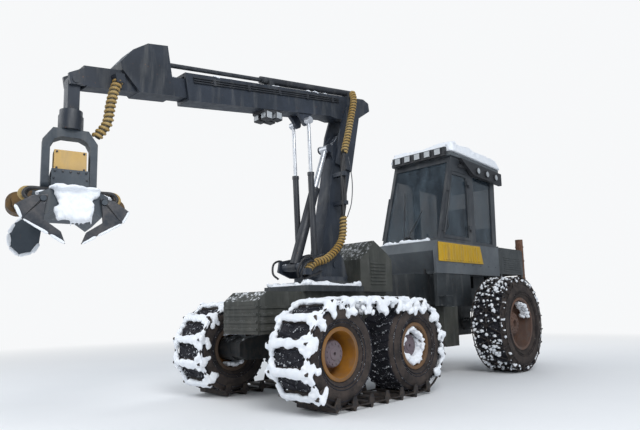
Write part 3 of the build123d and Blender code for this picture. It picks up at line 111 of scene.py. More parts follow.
class Nodes:
    """Builds the shader nodes of a material or of the world."""

    def __init__(self, owner):
        owner.use_nodes = True
        self.owner = owner
        self.tree = owner.node_tree

    def feed(self, socket, value):
        """Links another node's socket to an input, or sets the input to a value."""
        if hasattr(value, "links"):
            self.tree.links.new(value, socket)
        elif socket.type == "RGBA":
            socket.default_value = (*value, 1.0)
        else:
            socket.default_value = value

    def node(self, kind, inputs=(), **options):
        made = self.tree.nodes.new("ShaderNode" + kind)
        for option, value in options.items():
            setattr(made, option, value)
        for key, value in dict(inputs).items():
            self.feed(made.inputs[key], value)
        return made

    def work(self, how, *values):
        return self.node("Math", enumerate(values), operation=how).outputs[0]

    def times(self, first, second):
        return self.work("MULTIPLY", first, second)

    def most(self, first, second):
        return self.work("MAXIMUM", first, second)

    def ramp(self, value, low, high, to_low=0.0, to_high=1.0):
        """Maps a value between two limits to two others, clamped."""
        limits = {"From Min": low, "From Max": high, "To Min": to_low, "To Max": to_high, "Value": value}
        return self.node("MapRange", limits).outputs["Result"]

    def choose(self, amount, first, second, output):
        """Sends the first shader to the output, and the second where amount is 1."""
        chosen = self.node("MixShader", {"Fac": amount, 1: first.outputs[0], 2: second.outputs[0]})
        self.feed(self.tree.nodes[output].inputs["Surface"], chosen.outputs[0])


class Finish(Nodes):
    """A new material with its principled shader, laid out in the object's own coordinates."""

    def __init__(self, name):
        super().__init__(bpy.data.materials.new(name))
        self.shader = self.tree.nodes["Principled BSDF"]
        self.place = self.node("TexCoord").outputs["Object"]

    def surface(self, inputs):
        for key, value in inputs.items():
            self.feed(self.shader.inputs[key], value)

    def noise(self, scale, detail=4.0, rough=0.6, stretch=None):
        place = self.place
        if stretch:
            place = self.node("Mapping", {"Scale": stretch, "Vector": place}).outputs["Vector"]
        inputs = {"Scale": scale, "Detail": detail, "Roughness": rough, "Vector": place}
        return self.node("TexNoise", inputs).outputs["Fac"]

    def mix(self, amount, first, second):
        """A colour between two, each a colour or a socket."""
        return self.node("Mix", {"Factor": amount, 6: first, 7: second}, data_type="RGBA").outputs[2]

    def axis(self, letter, source=None):
        return self.node("SeparateXYZ", {0: source or self.place}).outputs[letter]

    def facing(self, letter):
        """How far a face looks along an axis, from the surface's own normal at rest."""
        return self.axis(letter, self.node("TexCoord").outputs["Normal"])

    def bump(self, height, strength, distance):
        node = self.node("Bump", {"Strength": strength, "Distance": distance, "Height": height})
        self.surface({"Normal": node.outputs["Normal"]})


MUD = (0.075, 0.062, 0.052)
DUST = (0.15, 0.15, 0.145)
RUST = (0.2, 0.085, 0.035)
SNOW = (0.84, 0.87, 0.91)
DRIED_MUD = (0.06, 0.046, 0.038)
WET_RUBBER = (0.009, 0.01, 0.015)
WORN_RUBBER = (0.024, 0.025, 0.033)
MUD_FLOOR = 0.2
RIM_DISH = (0.97, 0.93)


def painted(name, base, faded, rough, rust, mud_top, snow=0.0, buried=False):
    """Old machine paint: faded patches, streaks, chipped rust, mud low down and snow on ledges."""
    make = Finish(name)
    colour = make.mix(make.ramp(make.noise(2.2), 0.35, 0.68), base, faded)
    streaks = make.ramp(make.noise(9.0, stretch=(1.0, 1.0, 0.14)), 0.52, 0.78)
    colour = make.mix(make.times(streaks, 0.45), colour, DUST)
    chips = make.ramp(make.noise(26.0, 8.0, 0.7), 0.7 - 0.1 * rust, 0.74 - 0.08 * rust)
    colour = make.mix(make.times(chips, 0.85), colour, RUST)
    low = make.ramp(make.axis("Z"), mud_top, MUD_FLOOR)
    speckle = make.ramp(make.noise(14.0, 6.0, 0.75), 0.42, 0.66)
    colour = make.mix(make.times(low, speckle), colour, MUD)
    if buried:
        inner = make.ramp(make.work("ABSOLUTE", make.axis("Y")), *RIM_DISH)
        rear = make.ramp(make.axis("X"), BOGIE_X + 0.1, BOGIE_X - 0.1)
        lip = make.ramp(make.work("ABSOLUTE", make.facing("Y")), 0.75, 0.95)
        cover = make.most(make.most(inner, make.times(rear, 0.8)), make.times(lip, 0.55))
        colour = make.mix(make.times(cover, 0.92), colour, DRIED_MUD)
    if snow:
        level = make.ramp(make.facing("Z"), 0.45, 0.8)
        grain = make.ramp(make.noise(17.0, 7.0, 0.7), 0.62 - 0.3 * snow, 0.72 - 0.3 * snow)
        colour = make.mix(make.times(level, grain), colour, SNOW)
    wear = make.ramp(make.noise(11.0, 5.0), 0.0, 1.0, max(0.05, rough - 0.12), min(1.0, rough + 0.3))
    make.surface({"Base Color": colour, "Roughness": wear})
    make.bump(make.noise(60.0, 6.0, 0.7), 0.25, 0.002)
    return make.owner


def bare(name, base, second, rough, metallic, scale=18.0, bump=0.35, depth=0.003):
    """Two blended tones of one substance, with a grain that dents the surface."""
    make = Finish(name)
    tone = make.ramp(make.noise(scale, 6.0, 0.65), 0.38, 0.64)
    make.surface({"Base Color": make.mix(tone, base, second), "Metallic": metallic, "Roughness": rough})
    make.bump(make.noise(scale * 4.0, 6.0, 0.7), bump, depth)
    return make.owner


def tyre_rubber(name, base, dust, snow):
    """Worn rubber with dried mud in its fine grain, wet and flecked with snow on its tread."""
    make = Finish(name)
    patches = make.ramp(make.noise(6.0, 8.0, 0.7), 0.36, 0.62)
    colour = make.mix(patches, base, dust)
    scuffs = make.ramp(make.noise(40.0, 6.0, 0.75), 0.55, 0.72)
    colour = make.mix(make.times(scuffs, 0.6), colour, dust)
    flecks = make.ramp(make.noise(22.0, 9.0, 0.8), 0.66 - 0.12 * snow, 0.69 - 0.12 * snow)
    on_tread = make.ramp(make.work("ABSOLUTE", make.facing("Y")), 0.7, 0.4)
    wet = make.mix(patches, WET_RUBBER, WORN_RUBBER)
    colour = make.mix(make.times(on_tread, 0.9), colour, wet)
    colour = make.mix(make.times(flecks, on_tread), colour, SNOW)
    make.surface({"Base Color": colour, "Roughness": 0.88, "Specular IOR Level": 0.25})
    make.bump(make.noise(55.0, 8.0, 0.75), 0.5, 0.003)
    return make.owner


def snow_white():
    make = Finish("snow")
    tone = make.ramp(make.noise(12.0, 5.0), 0.3, 0.7)
    colour = make.mix(tone, (0.8, 0.84, 0.9), (0.9, 0.92, 0.95))
    make.surface({"Base Color": colour, "Roughness": 0.75, "Specular IOR Level": 0.3})
    make.bump(make.noise(70.0, 6.0, 0.7), 0.5, 0.006)
    return make.owner


def window_pane():
    """Tinted safety glass with a faint film of frost and wiped dirt."""
    make = Finish("window_glass")
    film = make.ramp(make.noise(3.0, 6.0, 0.7, stretch=(1.0, 1.0, 0.3)), 0.4, 0.75)
    colour = make.mix(film, (0.022, 0.033, 0.045), (0.075, 0.105, 0.13))
    opacity = make.ramp(film, 0.0, 1.0, 0.5, 0.78)
    make.surface({"Base Color": colour, "Roughness": 0.06, "IOR": 1.5, "Alpha": opacity})
    return make.owner


def lamp_glass():
    make = Finish("lamp_glass")
    colour = make.mix(make.noise(90.0, 3.0), (0.22, 0.24, 0.26), (0.5, 0.53, 0.55))
    make.surface({"Base Color": colour, "Roughness": 0.22})
    return make.owner


def woven(name, base, second):
    """Cloth with a fine weave."""
    make = Finish(name)
    weave = make.node("TexWave", {"Scale": 60.0, "Distortion": 1.5, "Vector": make.place}).outputs["Fac"]
    make.surface({"Base Color": make.mix(weave, base, second), "Roughness": 0.95, "Sheen Weight": 0.3})
    make.bump(weave, 0.3, 0.001)
    return make.owner


# Each paint: colour, faded colour, roughness, rust, the height where mud starts, snow, and if mud buries it
PAINTS = {
    "rim_worn": ((0.43, 0.18, 0.012), (0.27, 0.115, 0.018), 0.5, 0.9, 0.25, 0.0, True),
    "hub_plum": ((0.115, 0.088, 0.105), (0.165, 0.13, 0.145), 0.55, 0.6, 0.2),
    "rim_rust": ((0.145, 0.075, 0.048), (0.095, 0.062, 0.052), 0.7, 1.0, 0.5),
    "frame_dark": ((0.014, 0.018, 0.022), (0.032, 0.038, 0.042), 0.5, 0.6, 1.3, 0.2),
    "nose_grey": ((0.026, 0.029, 0.026), (0.056, 0.058, 0.05), 0.55, 0.5, 1.25, 0.35),
    "cab_grey": ((0.075, 0.086, 0.098), (0.115, 0.13, 0.142), 0.42, 0.35, 1.9),
    "panel_yellow": ((0.56, 0.33, 0.006), (0.44, 0.28, 0.02), 0.4, 0.3, 1.0),
    "cab_post": ((0.026, 0.03, 0.036), (0.052, 0.058, 0.066), 0.4, 0.35, 1.9),
    "cover_sand": ((0.55, 0.35, 0.095), (0.48, 0.32, 0.13), 0.5, 0.5, 1.0),
    "hood_dark": ((0.026, 0.03, 0.032), (0.052, 0.058, 0.06), 0.45, 0.4, 1.6, 0.3),
    "crane_paint": ((0.01, 0.015, 0.024), (0.024, 0.032, 0.048), 0.42, 0.45, 0.9, 0.3),
    "cylinder_paint": ((0.011, 0.013, 0.018), (0.026, 0.03, 0.038), 0.4, 0.4, 1.0),
    "head_grey": ((0.028, 0.04, 0.054), (0.06, 0.076, 0.094), 0.5, 0.6, 1.0, 0.4),
    "hose_yellow": ((0.3, 0.175, 0.035), (0.42, 0.31, 0.13), 0.55, 0.7, 0.9),
}

# Each unpainted substance: its two tones, roughness, metallic share, grain scale, bump and depth
SUBSTANCES = {
    "track_steel": ((0.028, 0.028, 0.032), (0.085, 0.065, 0.052), 0.6, 0.55),
    "chain_steel": ((0.03, 0.029, 0.032), (0.09, 0.07, 0.06), 0.55, 0.6, 30.0),
    "lamp_black": ((0.016, 0.017, 0.02), (0.035, 0.037, 0.042), 0.6, 0.0),
    "rod_dull": ((0.05, 0.055, 0.065), (0.1, 0.105, 0.115), 0.35, 0.7, 30.0),
    "hose_sleeve": ((0.035, 0.028, 0.014), (0.075, 0.058, 0.026), 0.6, 0.0, 30.0),
    "console_plastic": ((0.04, 0.04, 0.045), (0.07, 0.07, 0.075), 0.55, 0.0, 40.0, 0.15),
    "engine_iron": ((0.06, 0.06, 0.06), (0.12, 0.1, 0.085), 0.6, 0.5),
    "stack_rust": ((0.13, 0.06, 0.035), (0.22, 0.13, 0.09), 0.85, 0.2, 12.0),
    "rod_chrome": ((0.46, 0.48, 0.52), (0.6, 0.62, 0.65), 0.3, 0.6, 8.0, 0.02, 0.0003),
    "knife_steel": ((0.04, 0.046, 0.056), (0.095, 0.092, 0.094), 0.45, 0.7, 9.0),
    "feed_steel": ((0.16, 0.095, 0.035), (0.07, 0.055, 0.045), 0.65, 0.5, 10.0),
    "hose_rubber": ((0.014, 0.014, 0.016), (0.032, 0.032, 0.034), 0.5, 0.0, 30.0),
}

LOOKS = {
    "tyre": tyre_rubber("tyre_rubber", (0.024, 0.021, 0.021), (0.066, 0.052, 0.046), 0.45),
    "tread": tyre_rubber("tread_rubber", (0.01, 0.011, 0.016), (0.03, 0.031, 0.04), 0.8),
    "lamp_glass": lamp_glass(),
    "window_glass": window_pane(),
    "seat_cloth": woven("seat_cloth", (0.03, 0.03, 0.036), (0.07, 0.07, 0.08)),
    "snow": snow_white(),
}
for slot, paint in PAINTS.items():
    LOOKS[slot] = painted(slot, *paint)
for slot, substance in SUBSTANCES.items():
    LOOKS[slot] = bare(slot, *substance)

# Nodes whose finish differs from the rest of their material
SPECIAL = {"cab_frame": "cab_post", "cab_door": "cab_post", "extension_rod": "rod_dull",
           "bogie_rims": "rim_worn", "valve_cover": "cover_sand"}
WELD_REACH = 0.0002
CAD_EDGE = 0.005
EDGE_SEGMENTS = 2
EDGE_ANGLE = radians(32)


def round_edges(piece, width):
    edge = piece.modifiers.new("edge", "BEVEL")
    edge.width = width
    edge.segments = EDGE_SEGMENTS
    edge.limit_method = "ANGLE"
    edge.angle_limit = EDGE_ANGLE


def shade_evenly(piece):
    piece.data.shade_smooth()
    normals = piece.modifiers.new("normals", "WEIGHTED_NORMAL")
    normals.keep_sharp = True


def dress_cad():
    """Gives every carried-over node its finish, softened edges and smooth curves."""
    for row in frame["record"]["subparts"]:
        node = NODES[row["node"]]
        node.data.materials.clear()
        node.data.materials.append(LOOKS[SPECIAL.get(row["node"], row["material_slot"])])
        weld = node.modifiers.new("weld", "WELD")
        weld.merge_threshold = WELD_REACH
        round_edges(node, CAD_EDGE)
        shade_evenly(node)


# Shapes

LINK_PITCH = 0.052
LINK_WIDTH = 0.024
LINK_WIRE = 0.0055
SNOW_SOLE = Vector((0, 0, 0.004))
SHORTEST = 1e-6


def polar(centre, along, radius, turned, upright=False):
    """A place round an axis that runs along Y, or along Z when upright."""
    x, y, z = centre
    a, b = radius * cos(turned), radius * sin(turned)
    return (x + a, y + b, z + along) if upright else (x + a, y + along, z + b)


def lengths_of(route):
    """The length of a route up to each of its points."""
    lengths = [0.0]
    for first, second in zip(route, route[1:]):
        lengths.append(lengths[-1] + (second - first).length)
    return lengths


def stations(lengths, ways):
    """The stretch that each way along a route falls in, ways rising, and its share of that stretch."""
    index = 0
    for way in ways:
        while index < len(lengths) - 2 and lengths[index + 1] < way:
            index += 1
        yield index, (way - lengths[index]) / max(SHORTEST, lengths[index + 1] - lengths[index])


def smooth_path(points, steps):
    """A rounded route through given points."""
    points = [Vector(point) for point in points]
    padded = [points[0] * 2 - points[1], *points, points[-1] * 2 - points[-2]]
    route = []
    for index in range(1, len(padded) - 2):
        p0, p1, p2, p3 = padded[index - 1:index + 3]
        for step in range(steps):
            t = step / steps
            route.append(0.5 * ((2 * p1) + (p2 - p0) * t + (2 * p0 - 5 * p1 + 4 * p2 - p3) * t * t
                                + (3 * p1 - p0 - 3 * p2 + p3) * t ** 3))
    route.append(points[-1])
    return route


class Kit:
    """Gathers simple forms into one mesh, in machine coordinates, then hangs it on a body."""

    def __init__(self):
        self.mesh = bmesh.new()

    def skin(self, rings, closed=False):
        """Faces from ring to ring, closed into a loop or else capped at both ends."""
        made = [[self.mesh.verts.new(at(*point)) for point in ring] for ring in rings]
        pairs = list(zip(made, made[1:])) + ([(made[-1], made[0])] if closed else [])
        for first, second in pairs:
            for index in range(len(first)):
                following = (index + 1) % len(first)
                self.mesh.faces.new((first[index], first[following], second[following], second[index]))
        if not closed:
            self.mesh.faces.new(list(reversed(made[0])))
            self.mesh.faces.new(made[-1])

    def box(self, x, y, z):
        corners = [(x[0], y[0]), (x[1], y[0]), (x[1], y[1]), (x[0], y[1])]
        self.skin([[(a, b, height) for a, b in corners] for height in z])

    def tube(self, points, radius, sides, closed=False):
        """A round bar through points, untwisted, with one radius or a list of them."""
        rings = []
        count = len(points)
        normal = None
        for index, point in enumerate(points):
            here = Vector(point)
            before = Vector(points[index - 1]) if index or closed else here
            after = Vector(points[(index + 1) % count]) if index < count - 1 or closed else here
            along = (after - before).normalized()
            if normal is None:
                normal = along.orthogonal().normalized()
            normal = (normal - along * normal.dot(along)).normalized()
            other = along.cross(normal)
            size = radius[index] if isinstance(radius, list) else radius
            turns = [step * tau / sides for step in range(sides)]
            rings.append([here + normal * cos(turn) * size + other * sin(turn) * size for turn in turns])
        self.skin(rings, closed)

    def lathe(self, profile, centre, sides, upright=False):
        """Turns (along, radius) points about an axis through centre."""
        self.skin([
            [polar(centre, along, radius, tau * step / sides, upright) for along, radius in profile]
            for step in range(sides)
        ], closed=True)

    def ring(self, centre, radius, wire, sides, around=6):
        """A round hoop of wire about a line along Y."""
        turns = [tau * step / around for step in range(around)]
        self.lathe([(wire * cos(turn), radius + wire * sin(turn)) for turn in turns], centre, sides)

    def lump(self, centre, size, seed, rough, detail=2):
        """A noisy ball for packed snow."""
        made = bmesh.ops.create_icosphere(self.mesh, subdivisions=detail, radius=1.0)
        where = at(*centre)
        for vert in made["verts"]:
            way = vert.co.copy()
            wobble = 1.0 + rough * noise.noise(way * 1.7 + Vector((seed, seed * 0.37, 0)))
            vert.co = where + Vector((way.x * size[0], way.y * size[1], way.z * size[2])) * wobble

    def drift(self, corners, height, seed, steps, edge, rough):
        """Snow lying on a four-cornered face: full in the middle and rounded off at its rim."""
        a, b, c, d = (Vector(corner) for corner in corners)
        rows = []
        for i in range(steps[0] + 1):
            u = i / steps[0]
            row = []
            for j in range(steps[1] + 1):
                v = j / steps[1]
                base = (a * (1 - u) + b * u) * (1 - v) + (d * (1 - u) + c * u) * v
                rim = min(u, 1 - u, v, 1 - v) / edge
                swell = sqrt(max(0.0, 1 - (1 - min(1.0, rim)) ** 2))
                broad = noise.noise(base * 3.1 + Vector((seed, 0, 0)))
                fine = noise.noise(base * 9.0 + Vector((0, seed, 0)))
                tall = height * swell * max(0.15, 1 + rough * (broad + 0.5 * fine))
                row.append(self.mesh.verts.new(at(*(base + Vector((0, 0, tall))))))
            rows.append(row)
        for i in range(steps[0]):
            for j in range(steps[1]):
                self.mesh.faces.new((rows[i][j], rows[i + 1][j], rows[i + 1][j + 1], rows[i][j + 1]))
        rim = [row[0] for row in rows] + rows[-1][1:]
        rim += [row[-1] for row in reversed(rows[:-1])] + list(reversed(rows[0][1:-1]))
        lower = [self.mesh.verts.new(vert.co - SNOW_SOLE) for vert in rim]
        for index, vert in enumerate(rim):
            following = (index + 1) % len(rim)
            self.mesh.faces.new((vert, rim[following], lower[following], lower[index]))
        self.mesh.faces.new(lower)

    def bolt(self, place, way, radius, height):
        """A six-sided bolt head standing on a face."""
        place, way = Vector(place), Vector(way).normalized()
        self.tube([place, place + way * height], radius, 6)

    def ragged(self, start, end, outward, width, rise, seed, steps, sides):
        """Packed snow along a bar, thicker and thinner along its length, rounded off at both ends."""
        outward = outward.normalized()
        onward = (end - start).normalized().cross(outward)
        rings = []
        for step in range(steps + 1):
            part = step / steps
            here = start.lerp(end, part)
            close = max(0.1, sqrt(max(0.0, 1 - abs(2 * part - 1) ** 7)))
            swell = 1 + 0.45 * noise.noise(here * 9.0 + Vector((seed, 0, 0)))
            drift = 0.3 * width * noise.noise(here * 5.0 + Vector((0, seed, 0)))
            ring = []
            for turn in range(sides):
                turned = tau * turn / sides
                ripple = noise.noise(here * 24.0 + Vector((turn * 0.9, seed, turn * 0.4)))
                wobble = swell * (1 + 0.35 * ripple)
                across = onward * (cos(turned) * width * wobble + drift)
                ring.append(here + (across + outward * (sin(turned) * rise * wobble)) * close)
            rings.append(ring)
        self.skin(rings)

    def chain(self, points, outwards):
        """Oval links along a route, in turn flat on the surface and standing up from it."""
        lengths = lengths_of(points)
        count = max(2, round(lengths[-1] / LINK_PITCH))
        bend = LINK_WIDTH / 2 - LINK_WIRE
        straight = (lengths[-1] / count + 2.4 * LINK_WIRE - LINK_WIDTH) / 2
        ways = [lengths[-1] * (number + 0.5) / count for number in range(count)]
        for number, (index, part) in enumerate(stations(lengths, ways)):
            centre = points[index].lerp(points[index + 1], part)
            along = (points[index + 1] - points[index]).normalized()
            outward = outwards[index].lerp(outwards[index + 1], part).normalized()
            across = outward if number % 2 else along.cross(outward).normalized()
            link = []
            for end in (1, -1):
                for step in range(4):
                    turned = pi * step / 3 - pi / 2
                    onward = along * (end * (straight + bend * cos(turned)))
                    link.append(centre + onward + across * (end * bend * sin(turned)))
            self.tube(link, LINK_WIRE, 5, closed=True)

    def done(self, name, body, look, bevel=0.0, melt=0.0):
        """Makes the piece, its edges rounded or its forms melted together, and hangs it on its body."""
        bmesh.ops.recalc_face_normals(self.mesh, faces=self.mesh.faces)
        mesh = bpy.data.meshes.new(name)
        self.mesh.to_mesh(mesh)
        self.mesh.free()
        mesh.materials.append(LOOKS[look])
        piece = add_object(name, mesh)
        if bevel:
            round_edges(piece, bevel)
        if melt:
            merged = piece.modifiers.new("melt", "REMESH")
            merged.mode = "VOXEL"
            merged.voxel_size = melt
            merged.use_smooth_shade = True
            soft = piece.modifiers.new("soft", "SMOOTH")
            soft.factor = 0.5
            soft.iterations = 3
        else:
            shade_evenly(piece)
        if body:
            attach(piece, body)
        return piece


# Lights and floor

BACKGROUND = (0.93, 0.94, 0.95)
SKY = (0.8, 0.87, 0.95)
SKY_STRENGTH = 0.55
LIGHT_AIM = Vector((0, 0, 1.5))
FLOOR_NEAR = 5.0
FLOOR_FAR = 16.0
FLOOR_REACH = 60.0
LIGHTS = (
    ("key", (6.0, 9.0, 9.0), 7.0, 900.0),
    ("fill", (9.0, -5.0, 6.0), 8.0, 350.0),
    ("back", (-10.0, -3.0, 8.0), 8.0, 350.0),
)


def make_world():
    """A pale sky that lights the scene, seen as plain white."""
    scene.world = bpy.data.worlds.new("studio")
    make = Nodes(scene.world)
    sky = make.tree.nodes["Background"]
    make.feed(sky.inputs["Color"], SKY)
    make.feed(sky.inputs["Strength"], SKY_STRENGTH)
    white = make.node("Background", {"Color": BACKGROUND})
    path = make.node("LightPath")
    seen = make.most(path.outputs["Is Camera Ray"], path.outputs["Is Transmission Ray"])
    make.choose(seen, sky, white, "World Output")


def floor_finish():
    """Pale ground that fades into the background far away."""
    make = Finish("floor_finish")
    tone = make.noise(0.6, 3.0)
    make.surface({"Base Color": make.mix(tone, (0.83, 0.84, 0.86), (0.88, 0.89, 0.9)), "Roughness": 0.9})
    distance = make.node("VectorMath", {0: make.place}, operation="LENGTH").outputs["Value"]
    seen = make.node("LightPath").outputs["Is Camera Ray"]
    far = make.times(make.ramp(distance, FLOOR_NEAR, FLOOR_FAR), seen)
    pale = make.node("Emission", {"Color": BACKGROUND})
    make.choose(far, make.shader, pale, "Material Output")
    return make.owner


def make_stage():
    for name, place, size, power in LIGHTS:
        data = bpy.data.lights.new(name, "AREA")
        data.shape = "DISK"
        data.size = size
        data.energy = power
        lamp = add_object(name, data)
        lamp.location = place
        lamp.rotation_euler = (LIGHT_AIM - Vector(place)).to_track_quat("-Z", "Y").to_euler()
    mesh = bpy.data.meshes.new("floor")
    corners = ((-1, -1), (1, -1), (1, 1), (-1, 1))
    mesh.from_pydata([(x * FLOOR_REACH, y * FLOOR_REACH, 0) for x, y in corners], [], [(0, 1, 2, 3)])
    mesh.materials.append(floor_finish())
    floor = add_object("floor", mesh)
    scene.view_settings.view_transform = "Standard"


make_camera()
make_world()
make_stage()
dress_cad()

# Wheels and tracks: the same sizes as the part's source, in metres

BOGIE_BASE = 1.5
BOGIE_AXLES = (-BOGIE_BASE / 2, BOGIE_BASE / 2)
TRACK_LINE = 0.5853
AXLE_Z = 0.6523
TRACK_SHOES = 22
GROUND_RUN = 0.12
BOGIE_Y = 1.02
LUG_COUNT = 32
LUG_PITCH_LINE = 0.585
REAR_X = -3.92
REAR_Y = 1.09
REAR_Z = 0.833
REAR_TREAD = 0.812
NET_EDGE = 0.26
NET_CELLS = 20
HOOP_STEPS = 90
LEFT, RIGHT = 1, -1
SIDES = ((LEFT, "l"), (RIGHT, "r"))
BOGIE_RINGS = ((0.365, 0.278), (0.4, 0.288), (0.53, 0.278))
REAR_RINGS = ((0.53, 0.292), (0.565, 0.298), (0.69, 0.289))

# Hub outlines: distance from the machine's middle, and radius
HUB_STEP = 1.02
HUB_FACE = 1.165
HUB_CAP = ((0.985, 0.02), (0.985, 0.178), (HUB_STEP, 0.178), (1.03, 0.166), (1.145, 0.16),
           (HUB_FACE, 0.142), (HUB_FACE, 0.075), (HUB_FACE + 0.012, 0.07), (HUB_FACE + 0.012, 0.02))
HUB_BOLTS = ((HUB_FACE, 0.118, 12, 0.013, 0.012), (HUB_STEP, 0.171, 14, 0.008, 0.012))
REAR_STEP = 1.115
REAR_FACE = 1.215
REAR_HUB = ((1.0925, 0.062), (1.0925, 0.235), (REAR_STEP, 0.235), (1.125, 0.205), (1.19, 0.195),
            (REAR_FACE, 0.172), (REAR_FACE, 0.09), (1.225, 0.085), (1.225, 0.062))
REAR_BOLTS = ((REAR_FACE, 0.14, 12, 0.014, 0.012), (REAR_STEP, 0.22, 16, 0.01, 0.014))

# Snow in the rims: axle, side, arc in degrees, radius, size, count, and distance out from the track
RIM_BEDS = (
    (-0.75, LEFT, 0, 360, 0.235, 0.036, 130, 0.12),
    (-0.75, LEFT, 215, 320, 0.205, 0.05, 60, 0.09),
    (0.75, RIGHT, 60, 150, 0.235, 0.04, 40, -0.22),
    (0.75, RIGHT, 235, 300, 0.235, 0.034, 26, -0.22),
    (-0.75, RIGHT, 200, 330, 0.235, 0.036, 30, -0.22),
)


def shoe_places():
    """X, Z and outward angle of each track shoe, by its length round the loop from the top rear."""
    arc = pi * TRACK_LINE
    for count in range(TRACK_SHOES):
        left = (count + 0.5) * (2 * BOGIE_BASE + 2 * arc) / TRACK_SHOES
        for end in (1, -1):
            angle = end * pi / 2
            if left < BOGIE_BASE:
                yield end * (left - BOGIE_BASE / 2), AXLE_Z + end * TRACK_LINE, angle
                break
            left -= BOGIE_BASE
            if left < arc:
                angle -= left / TRACK_LINE
                x = end * BOGIE_BASE / 2 + TRACK_LINE * cos(angle)
                yield x, AXLE_Z + TRACK_LINE * sin(angle), angle
                break
            left -= arc


def out_of(angle):
    return Vector((cos(angle), 0, sin(angle)))


def track_snow(side, name):
    """Snow packed on the cross bars, both edges and the guards, heaped on the upper run."""
    kit = Kit()
    chance = random.Random(SEED + side)
    draw = chance.uniform
    track_y = side * BOGIE_Y
    spots = list(shoe_places())
    for count, (x, z, angle) in enumerate(spots):
        if z < GROUND_RUN:
            continue
        outward = out_of(angle)
        onward = Vector((sin(angle), 0, -cos(angle)))
        bar = Vector((x, track_y, z)) + outward * 0.05
        reach = Vector((0, 0.31, 0))
        kit.ragged(bar - reach, bar + reach, outward, 0.056, 0.034, count * 3.1 + side, 24, 12)
        for edge in (LEFT, RIGHT):
            for drop in (-0.02, 0.025, 0.065, 0.105):
                slide = draw(-0.045, 0.045)
                place = Vector((x, track_y + edge * draw(0.305, 0.335), z))
                centre = place - outward * drop + onward * slide
                size = draw(0.03, 0.056)
                kit.lump(centre, (size, size * 0.7, size * 1.15), count * 2.3 + drop * 40 + edge, 0.7)
            for corner in (-0.062, 0.062):
                size = draw(0.03, 0.046)
                place = Vector((x, track_y + edge * draw(0.235, 0.27), z))
                centre = place + outward * 0.03 + onward * corner
                kit.lump(centre, (size, size * 1.1, size), count * 1.1 + corner * 50 + edge, 0.6)
    for (x0, z0, a0), (x1, z1, a1) in zip(spots, spots[1:] + spots[:1]):
        if min(z0, z1) < GROUND_RUN:
            continue
        outward = out_of((a0 + a1) / 2) if abs(a0 - a1) < 3 else out_of(pi)
        start, end = Vector((x0, 0, z0)) + outward * 0.02, Vector((x1, 0, z1)) + outward * 0.02
        middle = Vector(((x0 + x1) / 2, 0, (z0 + z1) / 2)) + outward * 0.022
        for edge in (LEFT, RIGHT):
            y = Vector((0, track_y + edge * 0.288, 0))
            for first, second in ((start, middle), (middle, end)):
                kit.ragged(first + y, second + y, outward, 0.042, 0.03, x0 * 5 + edge + z1, 8, 10)
    for count in range(90):
        x = draw(-0.8, 0.8)
        edge = chance.choice((LEFT, RIGHT))
        z = AXLE_Z + TRACK_LINE + draw(-0.13, 0.045)
        size = draw(0.022, 0.052)
        y = track_y + edge * draw(0.27, 0.325)
        kit.lump((x, y, z), (size, size * 0.8, size), count * 1.7, 0.8)
    kit.done("track_snow_" + name, "front_frame", "snow", melt=0.012)


def hub(kit, x, z, side, outline, sides, bolt_rows):
    """A turned hub with its rings of bolts: distance out, radius, count, bolt radius and height."""
    kit.lathe([(side * out, radius) for out, radius in outline], (x, 0, z), sides)
    for out, radius, count, size, height in bolt_rows:
        for step in range(count):
            place = polar((x, side * out, z), 0.0, radius, tau * (step + 0.5) / count)
            kit.bolt(place, (0, side, 0), size, height)


def sidewall_rings(kit, centre, rings, wire, sides):
    """Rings pressed in both sidewalls of a tyre, each with its radius and its distance out."""
    x, y, z = centre
    for face in (LEFT, RIGHT):
        for radius, out in rings:
            kit.ring((x, y + face * out, z), radius, wire, sides)


def bogie_tread(side, name):
    """The front tyres' lugs, low between the shoes, and the rings of their sidewalls."""
    kit = Kit()
    for x in BOGIE_AXLES:
        centre = (x, side * BOGIE_Y, AXLE_Z)
        for step in range(LUG_COUNT):
            for edge in (LEFT, RIGHT):
                turned = tau * (step + (0.5 if edge > 0 else 0.0)) / LUG_COUNT
                rows = []
                for lift, taper in ((0.575, 1), (0.598, 0.8)):
                    row = []
                    for across, lag in ((0.015, 0.0), (0.235, 0.055)):
                        for width in (-0.018, 0.018):
                            angle = turned + (lag + width * taper) / LUG_PITCH_LINE
                            row.append(polar(centre, edge * across, lift, angle))
                    rows.append([row[0], row[1], row[3], row[2]])
                kit.skin(rows)
        sidewall_rings(kit, centre, BOGIE_RINGS, 0.006, 56)
    kit.done("bogie_tread_" + name, "front_frame", "tread")


def hub_caps(side, name):
    """Planetary hub covers and wheel nuts in the front rims."""
    kit = Kit()
    for x in BOGIE_AXLES:
        hub(kit, x, AXLE_Z, side, HUB_CAP, 40, HUB_BOLTS)
    kit.done("hub_caps_" + name, "front_frame", "hub_plum", bevel=0.003)


def rim_snow():
    """Snow blown into the rims, thickest low in the near rear one."""
    kit = Kit()
    draw = random.Random(SEED * 3).uniform
    for x, side, low, high, radius, size, count, out in RIM_BEDS:
        for number in range(count):
            angle = radians(draw(low, high))
            reach = radius - draw(0.0, 0.02)
            y = side * (BOGIE_Y + out + draw(-0.06, 0.1))
            bulk = size * draw(0.6, 1.2)
            centre = polar((x, 0, AXLE_Z), y, reach, angle)
            kit.lump(centre, (bulk, bulk * 1.2, bulk), number + low, 0.5)
    kit.done("rim_snow", "front_frame", "snow", melt=0.011)


